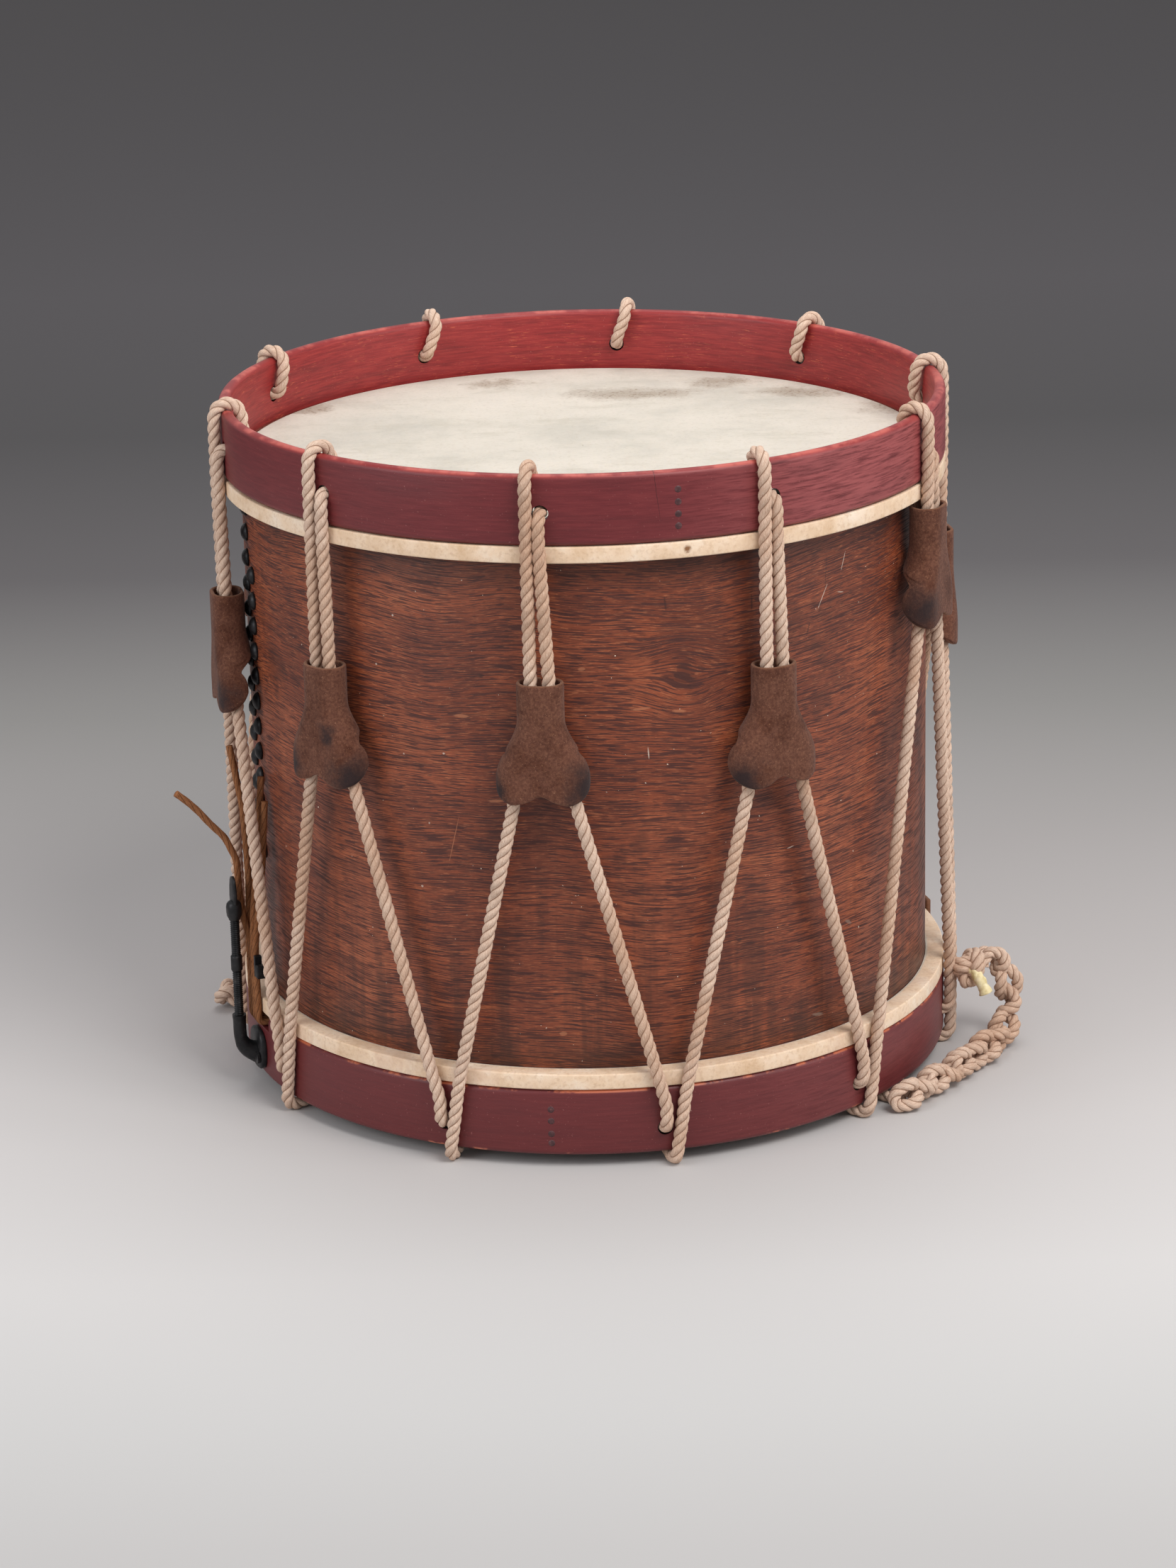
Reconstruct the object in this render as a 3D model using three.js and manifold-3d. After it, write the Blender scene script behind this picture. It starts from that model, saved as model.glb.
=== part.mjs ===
// Rope-tensioned field drum: bent wood shell and hoops, skin heads, laid rope
// with leather ears, a screw strainer with gut snares, and a plaited rope tail.
// Millimetres, +Z up, front towards -Y. The origin is on the drum's axis, on
// the surface that the drum stands on.

import * as THREE from 'three';
import { mergeVertices } from 'three/addons/utils/BufferGeometryUtils.js';
import Module from 'manifold-3d';

const wasm = await Module();
wasm.setup();

// Shell and heads
const shellDiameter = 406.4;
const shellWall = 6;
const shellVisibleHeight = 302;
const bearingRounding = 2;
const ventDiameter = 8;
const skinThickness = 0.8;
const headRise = 4.3;
const fleshHoopHeight = 9.4;
const glueRingHeight = 28;
const glueRingWall = 5;
const glueRingInset = 4;

// Counterhoops
const hoopOverhang = 11.4;
const hoopWall = 7;
const hoopHeight = 40.4;
const hoopRounding = 3.3;
const ropeHoleDiameter = 9.8;
const upperHoleDepth = 21.5;
const lowerHoleRise = 15.5;
const gateWidth = 34;

// Rope
const ropeDiameter = 8;
const ropeTurnRadius = 5;
const ropePairWidth = 10.4;
const hoopPairWidth = 8.8;
const footPairWidth = 9.4;
const footRise = 26.5;
const spanCount = 10;

// Leather ears
const earLength = 71;
const earThickness = 2.8;
const earRopeClearance = 1;
const earTubeRadius = 8.5;
const earFrontWidth = 8.2;
const earLobeWidth = 13.2;
const earFootDepth = 0.5;
const earFlareLead = 6;
const earLobeHeight = 13.5;
const earNotchHeight = 7;
const earThroatDepth = 20;
const earSeamGap = 0.6;

// Snare strainer
const rodDiameter = 6.2;
const rodOffset = 12.6;
const rodLength = 61;
const rodSeatDepth = 9;
const rodBoreClearance = 0.4;
const rodFootGap = 2;
const thumbHeadDiameter = 9.5;
const thumbNeckDiameter = 6.6;
const thumbHeadHeight = 11;
const thumbLeafHeight = 16;
const thumbLeafWidth = 11;
const thumbLeafThickness = 2.4;
const socketDiameter = 10.8;
const socketHeight = 22;
const webWidth = 8;
const webHeight = 13;
const footPlateWidth = 26;
const footPlateHeight = 27;
const footPlateThickness = 3;
const footPlateRise = 3;
const bracketScrewDiameter = 7;
const bracketScrewShank = 3;
const bracketScrewHead = 1.6;
const bracketScrewWidth = 15;
const carriageHeight = 14;
const carriageRise = 26;
const carriageRodWall = 2.2;
const carriageWall = 3;
const boltWall = 4;
const jawThickness = 3;
const jawTravel = 1.6;
const boltDiameter = 4;
const boltHeadWidth = 8;
const boltHeadHeight = 4.5;

// Gut snares and their butt
const gutDiameter = 4.2;
const gutPitch = 4.5;
const gutTurnRadius = 3;
const gutEndLength = 120;
const buttWidth = 44;
const buttHeight = 50;
const buttRise = 5.5;
const buttThickness = 2.6;
const buttScrewWidth = 32;
const buttScrewDiameter = 6;
const buttScrewShank = 3;
const buttScrewHead = 1.8;
const buttScrewRise = 11;

// Knots and the plaited tail
const knotRadius = 12.5;
const whippedEndDiameter = 8.6;
const whippedEndLength = 15;
const plaitDiameter = 18;
const tailKnotLength = 26;
const tailKnotWidth = 30;
const tailKnotHeight = 18;
const tailKnotFlat = 0.5;

// Clearances
const clearance = 0.3;
const overrun = 5;

// Places around the drum, in degrees from +X, and counts
const firstEarAngle = -97.6;
const spanPitch = 360 / spanCount;
const strainerAngle = -160.4;
const buttAngle = 19.6;
const ventAngle = 100;
const knotAngleSpan = 2;
const ringSegments = 40;
const ropeSides = 8;

// How far each bight of the rope, and each foot between two bights, sits from
// its even place round the drum, in degrees.
const earAngleShifts = [0.5, 0.2, 1.6, 0.1, 2, 0.7, -0.6, 0.1, 2.3, 0.2];
const footAngleShifts = [1.2, 0.3, 0, 1.6, 1.2, 0.8, 1.8, 1.4, 4, 2.4];

// Where each ear sits on its rope pair, as a share of its travel from the
// upper stop down to the lowest place it is drawn to.
const earDropShares = [0.89, 0.88, 0, 0.68, 0.8, 0.84, 0.67, 0.52, 0.755, 0.94];
const earTravelShare = 0.235;

// The free end of each gut above its clamp: how far out, aside and up each point
// of it lies, as shares of its length.
const gutEndShares = [
  [[-0.0125, -0.055, 0.33], [-0.006, -0.083, 0.69], [0.0375, -0.121, 1]],
  [
    [0.029, -0.033, 0.122], [0.038, -0.058, 0.247], [0.042, -0.069, 0.422], [0.096, -0.072, 0.547],
    [0.17, -0.073, 0.63], [0.221, -0.074, 0.697], [0.275, -0.074, 0.755], [0.331, -0.074, 0.805],
  ],
  [[-0.008, 0.021, 0.18], [-0.05, 0.0125, 0.51], [-0.083, 0.004, 0.86]],
  [[-0.008, 0.058, 0.14], [-0.042, 0.067, 0.43], [-0.071, 0.075, 0.75]],
];

// Sizes that follow from the ones above
const shellRadius = shellDiameter / 2;
const hoopRadius = shellRadius + hoopOverhang;
const hoopInner = hoopRadius - hoopWall;
const ropeRadius = ropeDiameter / 2;
const footCut = ropeDiameter / 10;
const lowerHoopBottom = ropeDiameter - footCut + clearance;
const lowerHoopTop = lowerHoopBottom + hoopHeight;
const lowerFleshBottom = lowerHoopTop + clearance;
const lowerFleshTop = lowerFleshBottom + fleshHoopHeight;
const upperFleshBottom = lowerFleshTop + shellVisibleHeight;
const upperFleshTop = upperFleshBottom + fleshHoopHeight;
const upperHoopBottom = upperFleshTop + clearance;
const upperHoopTop = upperHoopBottom + hoopHeight;
const batterFace = upperFleshTop + headRise;
const snareFace = lowerFleshBottom - headRise;
const middle = (upperFleshBottom + lowerFleshTop) / 2;
const shellTop = batterFace - skinThickness - clearance;
const shellBottom = snareFace + skinThickness + clearance;
const skinInner = shellRadius + clearance;
const ropeOut = hoopRadius + clearance + ropeRadius;
const ropeIn = hoopInner * Math.cos(Math.PI / ringSegments) - clearance - ropeRadius;
const upperHole = upperHoopTop - upperHoleDepth;
const lowerHole = lowerHoopBottom + lowerHoleRise;
const footTop = lowerHoopBottom + footRise;
const footCentre = ropeRadius - footCut;
const earUpperStop = upperFleshBottom - ropeRadius + clearance;
const earTravel = shellVisibleHeight * earTravelShare;
const earSection = ropeRadius + earRopeClearance + earThickness / 2;
const rodRadial = hoopRadius + rodOffset;
const socketTop = lowerFleshBottom - rodFootGap;
const rodBottom = socketTop - rodSeatDepth;
const carriageBottom = socketTop + carriageRise;
const gutRadial = hoopRadius + clearance + gutDiameter / 2;
const gutUnder = snareFace - clearance - gutDiameter / 2;
const gateFloor = gutUnder - gutDiameter / 2 - 2 * clearance;
const plateFace = hoopRadius + clearance;
const gutSplit = carriageBottom + carriageHeight / 2;

// The plait's route from the knot down to the ground and round the hoop, and
// the last of the rope from the plait across under the drum.
const plaitRoute = [
  [236.3, -22.7, 50.5], [241, -19.5, 50.5], [247.5, -17.5, 49], [253, -18.5, 43], [255.8, -22, 32],
  [255.5, -28.5, 20], [252.8, -37, 12],
  [248, -47, 9], [242.5, -58, 9], [235, -70, 9], [227.5, -81, 9], [219, -93, 9], [210, -104.5, 9],
  [200.5, -118, 9], [191, -131.5, 9], [181, -145, 9],
];
const tailRopeRoute = [
  [180.5, -130, 3.2], [170, -121.5, 3.2], [150, -106, 3.2], [110, -76, 3.2], [60, -43, 3.2], [0, -10, 3.2],
  [-60, 14, 3.2], [-120, 31, 3.2], [-170, 43.5, 3.2], [-200, 51.3, 3.2], [-216, 55.5, 3.2],
];

const colours = {
  oak: { color: 0x6e3a20, roughness: 0.5, metalness: 0 },
  inner: { color: 0xa9825a, roughness: 0.8, metalness: 0 },
  hoopPaint: { color: 0x6e2a2c, roughness: 0.5, metalness: 0 },
  skin: { color: 0xd9cdb8, roughness: 0.65, metalness: 0 },
  rope: { color: 0xb9a48b, roughness: 0.9, metalness: 0 },
  suede: { color: 0x5a3a26, roughness: 0.95, metalness: 0 },
  iron: { color: 0x1c1c1e, roughness: 0.55, metalness: 0.6 },
  gut: { color: 0x8a5a34, roughness: 0.7, metalness: 0 },
};

const drum = new THREE.Group();
const radians = THREE.MathUtils.degToRad;

// Closed geometry with merged corners and its faces turned outwards.
function closed(geometry) {
  const bare = new THREE.BufferGeometry();
  bare.setAttribute('position', geometry.getAttribute('position').clone());
  if (geometry.index) bare.setIndex(geometry.index.clone());
  const merged = mergeVertices(bare);
  const at = merged.getAttribute('position');
  const index = merged.index.array;
  const [a, b, c] = [new THREE.Vector3(), new THREE.Vector3(), new THREE.Vector3()];
  let volume = 0;
  const kept = [];
  for (let i = 0; i < index.length; i += 3) {
    if (index[i] === index[i + 1] || index[i] === index[i + 2] || index[i + 1] === index[i + 2]) continue;
    a.fromBufferAttribute(at, index[i]);
    b.fromBufferAttribute(at, index[i + 1]);
    c.fromBufferAttribute(at, index[i + 2]);
    volume += a.dot(b.cross(c));
    kept.push(index[i], index[i + 1], index[i + 2]);
  }
  if (volume < 0) {
    for (let i = 0; i < kept.length; i += 3) [kept[i], kept[i + 1]] = [kept[i + 1], kept[i]];
  }
  merged.setIndex(kept);
  return merged;
}

function solid(geometry) {
  const mesh = closed(geometry);
  return new wasm.Manifold(new wasm.Mesh({
    numProp: 3,
    vertProperties: new Float32Array(mesh.getAttribute('position').array),
    triVerts: new Uint32Array(mesh.index.array),
  }));
}

function geometryOf(manifold) {
  const mesh = manifold.getMesh();
  const geometry = new THREE.BufferGeometry();
  geometry.setAttribute('position', new THREE.BufferAttribute(new Float32Array(mesh.vertProperties), 3));
  geometry.setIndex(new THREE.BufferAttribute(new Uint32Array(mesh.triVerts), 1));
  return geometry;
}

function cut(geometry, tools) {
  return geometryOf(tools.reduce((left, tool) => left.subtract(solid(tool)), solid(geometry)));
}

function join(geometries) {
  return geometryOf(geometries.slice(1).reduce((sum, one) => sum.add(solid(one)), solid(geometries[0])));
}

function add(name, geometry, look, parent = drum) {
  const shape = closed(geometry);
  shape.computeVertexNormals();
  const mesh = new THREE.Mesh(shape, new THREE.MeshStandardMaterial(colours[look]));
  mesh.name = name;
  parent.add(mesh);
  return mesh;
}

// A ring or disc about the drum's axis, from its outline in radius and height.
function turned(outline, segments = ringSegments) {
  const points = outline.map(([radius, height]) => new THREE.Vector2(radius, height));
  return new THREE.LatheGeometry(points, segments).rotateX(Math.PI / 2);
}

function closeOutline(outline) {
  return [...outline, outline[0]];
}

// A cylinder along +Z, from its base centre.
function post(radius, height, x, y, z, sides = 16, topRadius = radius) {
  return new THREE.CylinderGeometry(topRadius, radius, height, sides)
    .rotateX(Math.PI / 2).translate(x, y, z + height / 2);
}

function block(sizeX, sizeY, sizeZ, x, y, z) {
  return new THREE.BoxGeometry(sizeX, sizeY, sizeZ).translate(x, y, z);
}

function earAngle(k) {
  return firstEarAngle + k * spanPitch + earAngleShifts[(k + spanCount) % spanCount];
}

function footAngle(k) {
  return firstEarAngle + (k + 0.5) * spanPitch + footAngleShifts[(k + spanCount) % spanCount];
}

// A point given by its arc distance from an angle, its height and its radius.
function around(angle, across, height, radius) {
  const turn = radians(angle) + across / ropeOut;
  return new THREE.Vector3(radius * Math.cos(turn), radius * Math.sin(turn), height);
}

// A cord's tube through the given points, one ring of sides at each.
function tube(points, radius, sides = ropeSides) {
  const count = points.length;
  const along = points.map((point, i) => {
    const before = points[Math.max(i - 1, 0)];
    const after = points[Math.min(i + 1, count - 1)];
    const first = point.clone().sub(before).normalize();
    const second = after.clone().sub(point).normalize();
    return first.add(second).normalize();
  });
  let side = new THREE.Vector3(0, 0, 1);
  if (Math.abs(along[0].z) > 0.8) side = new THREE.Vector3(points[0].x, points[0].y, 0).normalize();
  const positions = [];
  const index = [];
  points.forEach((point, i) => {
    side = side.clone().addScaledVector(along[i], -side.dot(along[i])).normalize();
    const cross = along[i].clone().cross(side);
    for (let k = 0; k < sides; k += 1) {
      const turn = ((k + 0.5) / sides) * 2 * Math.PI;
      const corner = point.clone()
        .addScaledVector(side, radius * Math.cos(turn))
        .addScaledVector(cross, radius * Math.sin(turn));
      positions.push(corner.x, corner.y, corner.z);
    }
  });
  for (let i = 0; i + 1 < count; i += 1) {
    for (let k = 0; k < sides; k += 1) {
      const next = (k + 1) % sides;
      const [a, b, c, d] = [i * sides + k, i * sides + next, (i + 1) * sides + k, (i + 1) * sides + next];
      index.push(a, b, c, b, d, c);
    }
  }
  for (let k = 1; k + 1 < sides; k += 1) {
    index.push(0, k + 1, k);
    const last = (count - 1) * sides;
    index.push(last, last + k, last + k + 1);
  }
  const geometry = new THREE.BufferGeometry();
  geometry.setAttribute('position', new THREE.Float32BufferAttribute(positions, 3));
  geometry.setIndex(index);
  return geometry;
}

// Cuts a cord flat where it lies on the ground.
function flattened(geometry) {
  const reach = hoopRadius * 4;
  return cut(geometry, [block(reach, reach, reach, 0, 0, -reach / 2)]);
}

function buildShell() {
  const outline = closeOutline([
    [shellRadius - shellWall, shellBottom + bearingRounding],
    [shellRadius - shellWall / 2, shellBottom],
    [shellRadius - bearingRounding, shellBottom],
    [shellRadius, shellBottom + bearingRounding],
    [shellRadius, shellTop - bearingRounding],
    [shellRadius - bearingRounding, shellTop],
    [shellRadius - shellWall / 2, shellTop],
    [shellRadius - shellWall, shellTop - bearingRounding],
  ]);
  const vent = new THREE.CylinderGeometry(ventDiameter / 2, ventDiameter / 2, shellWall + 2 * overrun, 12)
    .rotateZ(Math.PI / 2).translate(shellRadius - shellWall / 2, 0, middle).rotateZ(radians(ventAngle));
  add('shell', cut(turned(outline), [vent]), 'oak');
  const outer = shellRadius - shellWall - clearance;
  for (const [name, low] of [
    ['snare_glue_ring', shellBottom + glueRingInset],
    ['batter_glue_ring', shellTop - glueRingInset - glueRingHeight],
  ]) {
    const high = low + glueRingHeight;
    add(name, turned(closeOutline([
      [outer - glueRingWall, low], [outer, low], [outer, high], [outer - glueRingWall, high],
    ])), 'inner');
  }
}

// The skin runs over the bearing edge, down inside its flesh hoop, round it and
// back over its top. The snare side is the batter side turned over.
function buildHead(skinName, hoopName, face, bottom, flip) {
  const place = (height) => (flip ? 2 * middle - height : height);
  const top = bottom + fleshHoopHeight;
  const collar = skinInner + skinThickness;
  const coreInner = collar + clearance;
  const coreOuter = hoopRadius - skinThickness - clearance;
  const tuck = coreInner + ropeRadius / 2;
  const skin = [
    [0, face], [collar, face], [collar, bottom + skinThickness], [hoopRadius - skinThickness, bottom + skinThickness],
    [hoopRadius - skinThickness, top - skinThickness], [tuck, top - skinThickness],
    [tuck, top], [hoopRadius, top], [hoopRadius, bottom], [skinInner, bottom],
    [skinInner, face - skinThickness], [0, face - skinThickness],
  ].map(([radius, height]) => [radius, place(height)]);
  add(skinName, turned(skin), 'skin');
  const low = bottom + skinThickness + clearance;
  const high = top - skinThickness - clearance;
  add(hoopName, turned(closeOutline([
    [coreInner, low], [coreOuter, low], [coreOuter, high], [coreInner, high],
  ]).map(([radius, height]) => [radius, place(height)])), 'inner');
}

function hoopOutline(bottom) {
  const top = bottom + hoopHeight;
  const soft = hoopRounding;
  return closeOutline([
    [hoopInner, bottom + soft], [hoopInner + soft, bottom],
    [hoopRadius - soft, bottom], [hoopRadius, bottom + soft],
    [hoopRadius, top - soft], [hoopRadius - soft, top],
    [hoopInner + soft, top], [hoopInner, top - soft],
  ]);
}

function ropeHole(angle, across, height) {
  const wall = hoopWall + 2 * overrun;
  const hole = new THREE.CylinderGeometry(ropeHoleDiameter / 2, ropeHoleDiameter / 2, wall, 12);
  const turn = radians(angle) + across / ropeOut;
  return hole.rotateZ(Math.PI / 2).translate(hoopRadius - hoopWall / 2, 0, height).rotateZ(turn);
}

function buildHoops() {
  const upperHoles = [];
  const lowerHoles = [];
  for (let k = 0; k < spanCount; k += 1) {
    upperHoles.push(ropeHole(earAngle(k), hoopPairWidth / 4, upperHole));
    lowerHoles.push(ropeHole(footAngle(k), -footPairWidth / 2, lowerHole));
  }
  add('batter_counterhoop', cut(turned(hoopOutline(upperHoopBottom)), upperHoles), 'hoopPaint');
  const gateHeight = lowerHoopTop - gateFloor + overrun;
  const gates = [strainerAngle, buttAngle].map((angle) => block(
    hoopWall + 2 * overrun, gateWidth, gateHeight,
    hoopRadius - hoopWall / 2, 0, gateFloor + gateHeight / 2,
  ).rotateZ(radians(angle)));
  add('snare_counterhoop', cut(turned(hoopOutline(lowerHoopBottom)), [...lowerHoles, ...gates]), 'hoopPaint');
}

// One bight of the rope: up the left leg, over the upper hoop, down inside it,
// out through its hole and down the right leg.
function ropeSpan(k, earTop) {
  const at = (across, height, radius) => around(earAngle(k), across, height, radius);
  const halfPair = ropePairWidth / 2;
  const halfHoop = hoopPairWidth / 2;
  const drift = -ropeRadius / 2;
  const left = drift - halfHoop;
  const right = drift + halfHoop;
  const throat = earTop - earThroatDepth;
  const leftFoot = footPairWidth / 2 - radians(earAngle(k) - footAngle(k - 1)) * ropeOut;
  const rightFoot = radians(footAngle(k) - earAngle(k)) * ropeOut - footPairWidth / 2;
  const turn = ropeTurnRadius;
  const bend = (ropeOut - ropeIn) / 2;
  const crest = upperHoopTop + 2 * clearance + ropeRadius - bend;
  const rise = (lowerFleshTop - footTop - ropeRadius) / (throat - footTop - ropeRadius);
  const leave = (foot, top) => at(foot + (top - foot) * rise, lowerFleshTop, ropeOut);
  const points = [
    at(leftFoot, footTop + clearance, ropeOut),
    at(leftFoot, footTop + ropeRadius, ropeOut),
    leave(leftFoot, -halfPair),
    at(-halfPair, throat, ropeOut),
    at(-halfPair, earTop, ropeOut),
    at(left, upperHoopBottom, ropeOut),
    at(left, upperHole, ropeOut),
    at(left + ropeRadius / 4, crest, ropeOut),
  ];
  for (let i = 1; i <= 4; i += 1) {
    const swing = (i / 5) * Math.PI;
    const across = left + ropeRadius / 4 + (i / 5) * ropeRadius;
    points.push(at(across, crest + bend * Math.sin(swing), (ropeOut + ropeIn) / 2 + bend * Math.cos(swing)));
  }
  points.push(at(drift, crest, ropeIn));
  const hole = hoopPairWidth / 4;
  for (const share of [0, 0.5, 1]) {
    const swing = (share * Math.PI) / 2;
    points.push(at(hole - (1 - share) * ropeRadius / 4, upperHole + turn - turn * Math.sin(swing),
      ropeIn + turn - turn * Math.cos(swing)));
  }
  for (const share of [0, 0.5, 1]) {
    const swing = (share * Math.PI) / 2;
    points.push(at(hole + share * (right - hole), upperHole - turn + turn * Math.cos(swing),
      ropeOut - turn + turn * Math.sin(swing)));
  }
  points.push(
    at(right, upperHoopBottom, ropeOut),
    at(halfPair, earTop, ropeOut),
    at(halfPair, throat, ropeOut),
    leave(rightFoot, halfPair),
    at(rightFoot, footTop + ropeRadius, ropeOut),
    at(rightFoot, footTop + clearance, ropeOut),
  );
  return tube(points, ropeRadius);
}

// The rope under the lower hoop, between two bights: down outside, under the
// hoop's edge, up inside it and out through its hole.
function ropeFoot(k) {
  const at = (across, height, radius) => around(footAngle(k), across, height, radius);
  const half = footPairWidth / 2;
  const turn = ropeTurnRadius;
  const points = [at(half, footTop, ropeOut), at(half, footCentre + turn, ropeOut)];
  for (const share of [0.5, 1]) {
    const swing = (share * Math.PI) / 2;
    points.push(at(half - share * ropeRadius / 4, footCentre + turn - turn * Math.sin(swing),
      ropeOut - turn + turn * Math.cos(swing)));
  }
  for (const share of [0, 0.5, 1]) {
    const swing = (share * Math.PI) / 2;
    points.push(at(half - (1 + share) * ropeRadius / 2, footCentre + turn - turn * Math.cos(swing),
      ropeIn + turn - turn * Math.sin(swing)));
  }
  for (const share of [0, 0.5, 1]) {
    const swing = (share * Math.PI) / 2;
    points.push(at(-half + (1 - share) * ropeRadius / 4, lowerHole - turn + turn * Math.sin(swing),
      ropeIn + turn - turn * Math.cos(swing)));
  }
  for (const share of [0, 0.5, 1]) {
    const swing = (share * Math.PI) / 2;
    points.push(at(-half, lowerHole + turn - turn * Math.cos(swing), ropeOut - turn + turn * Math.sin(swing)));
  }
  points.push(at(-half, footTop, ropeOut));
  return flattened(tube(points, ropeRadius));
}

// A leather ear: one piece folded round the two legs of a bight, meeting at a
// seam behind, and cut at its foot into two round lobes.
function earGeometry() {
  const rows = 4;
  const half = 7;
  const flat = earFrontWidth / 2;
  const wrap = flat * 2 + Math.PI * earTubeRadius - earSeamGap / 2;
  const section = (down) => {
    const share = THREE.MathUtils.smoothstep(down, earThroatDepth - earFlareLead, earLength - earLobeHeight);
    return {
      reach: flat + earLobeWidth * share,
      radius: earTubeRadius + (earFootDepth * down) / earLength,
    };
  };
  const lobe = (across) => {
    const share = THREE.MathUtils.clamp((across - wrap / 2) / (wrap / 2), -1, 1);
    const round = earLobeHeight * Math.sqrt(1 - share * share);
    return earLength - earLobeHeight + Math.max(round, across < wrap / 2 ? earNotchHeight : 0);
  };
  const corner = (j, down, offset) => {
    const { reach, radius } = section(down);
    const side = Math.sign(j);
    const step = Math.abs(j);
    const rest = Math.min(Math.PI, (wrap - reach) / radius);
    const back = Math.max(0, wrap - reach - Math.PI * radius);
    let across = (reach * Math.min(step, 2)) / 2;
    let depth = earSection;
    const centre = earSection - radius;
    const swing = (rest * THREE.MathUtils.clamp(step - 2, 0, 4)) / 4;
    across += (radius + offset) * Math.sin(swing);
    depth = centre + (radius + offset) * Math.cos(swing);
    if (step === 7) across -= back;
    return [side * across, depth];
  };
  const columnShares = [0, 0.16, 0.36, 0.5, 0.68, 0.86, 0.94, 1];
  const lengths = columnShares.map((share) => lobe(share * wrap));
  const positions = [];
  for (const offset of [earThickness / 2, -earThickness / 2]) {
    for (let j = -half; j <= half; j += 1) {
      for (let i = 0; i < rows; i += 1) {
        const down = (lengths[Math.abs(j)] * i) / (rows - 1);
        const [across, depth] = corner(j, down, offset);
        positions.push(ropeOut + depth, across, -down);
      }
    }
  }
  const columns = 2 * half + 1;
  const id = (layer, j, i) => (layer * columns + j) * rows + i;
  const index = [];
  const quad = (a, b, c, d) => index.push(a, b, c, a, c, d);
  for (let j = 0; j + 1 < columns; j += 1) {
    for (let i = 0; i + 1 < rows; i += 1) {
      quad(id(0, j, i), id(0, j, i + 1), id(0, j + 1, i + 1), id(0, j + 1, i));
      quad(id(1, j, i), id(1, j + 1, i), id(1, j + 1, i + 1), id(1, j, i + 1));
    }
    quad(id(0, j, 0), id(0, j + 1, 0), id(1, j + 1, 0), id(1, j, 0));
    quad(id(0, j, rows - 1), id(1, j, rows - 1), id(1, j + 1, rows - 1), id(0, j + 1, rows - 1));
  }
  for (let i = 0; i + 1 < rows; i += 1) {
    quad(id(0, 0, i), id(1, 0, i), id(1, 0, i + 1), id(0, 0, i + 1));
    quad(id(0, columns - 1, i), id(0, columns - 1, i + 1), id(1, columns - 1, i + 1), id(1, columns - 1, i));
  }
  const geometry = new THREE.BufferGeometry();
  geometry.setAttribute('position', new THREE.Float32BufferAttribute(positions, 3));
  geometry.setIndex(index);
  return geometry;
}

function earHeight(k) {
  return earUpperStop - earDropShares[(k + spanCount) % spanCount] * earTravel;
}

function buildRope() {
  const ear = earGeometry();
  for (let k = 0; k < spanCount; k += 1) {
    const earTop = earHeight(k);
    add(`tension_rope_${k + 1}`, ropeSpan(k, earTop), 'rope');
    add(`rope_foot_${k + 1}`, ropeFoot(k), 'rope');
    const mesh = add(`leather_ear_${k + 1}`, ear, 'suede');
    mesh.position.z = earTop;
    mesh.rotation.z = radians(earAngle(k));
  }
}

// A closed ball stretched to its half lengths, wider than it is deep.
function ball(lengthX, lengthY, lengthZ, x, y, z) {
  return new THREE.SphereGeometry(1, 12, 8).rotateX(Math.PI / 2)
    .scale(lengthX / 2, lengthY / 2, lengthZ / 2).translate(x, y, z);
}

// The knot that ends the tension rope, tied round the two legs at one foot.
function buildKnot() {
  const k = knotAngleSpan;
  const angle = footAngle(k);
  const centre = footTop + knotRadius + ropeRadius;
  const radial = hoopRadius + 2 * clearance + knotRadius;
  const start = footTop + ropeRadius;
  const rise = (span) => (lowerFleshTop - start) / (earHeight(span) - earThroatDepth - start);
  const legs = [-1, 1].map((side) => {
    const span = side < 0 ? k : k + 1;
    const foot = (side * footPairWidth) / 2;
    const reach = radians(earAngle(span) - angle) * ropeOut - (side * ropePairWidth) / 2;
    return tube([
      around(angle, foot, footTop - ropeRadius, ropeOut),
      around(angle, foot, footTop + ropeRadius, ropeOut),
      around(angle, foot + (reach - foot) * rise(span), lowerFleshTop, ropeOut),
      around(angle, reach, earHeight(span) - earThroatDepth, ropeOut),
    ], ropeRadius + 2 * clearance);
  });
  const size = 2 * knotRadius;
  const body = ball(size, size, size, radial, 0, centre).rotateZ(radians(angle));
  const end = new THREE.CylinderGeometry(whippedEndDiameter / 2, whippedEndDiameter / 2, whippedEndLength, 10)
    .rotateZ(Math.PI / 2).rotateY(Math.PI / 6)
    .translate(radial + knotRadius * 0.85, -knotRadius / 2, centre - knotRadius / 2).rotateZ(radians(angle));
  add('rope_knot', cut(join([body, end]), legs), 'rope');
}

function points(route) {
  return route.map(([x, y, z]) => new THREE.Vector3(x, y, z));
}

function buildTail() {
  add('tail_plait', tube(points(plaitRoute), plaitDiameter / 2), 'rope');
  add('tail_rope', flattened(tube(points(tailRopeRoute), ropeRadius)), 'rope');
  const [endX, endY] = tailRopeRoute[tailRopeRoute.length - 1];
  const turn = Math.atan2(endY, endX);
  const radial = Math.hypot(endX, endY) + clearance + tailKnotLength / 2;
  add('tail_knot', flattened(ball(tailKnotLength, tailKnotWidth, tailKnotHeight,
    radial, 0, tailKnotHeight / 2 - tailKnotFlat).rotateZ(turn)), 'rope');
}

// A short rod along X or Y, centred where it is wanted.
function pin(radius, length, axis, x, y, z, sides = 10) {
  const rod = new THREE.CylinderGeometry(radius, radius, length, sides);
  if (axis === 'x') rod.rotateZ(Math.PI / 2);
  return rod.translate(x, y, z);
}

// A frame on the drum's side: X outwards, Y round the drum, Z up.
function sideFrame(angle) {
  const frame = new THREE.Group();
  frame.rotation.z = radians(angle);
  drum.add(frame);
  return frame;
}

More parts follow.
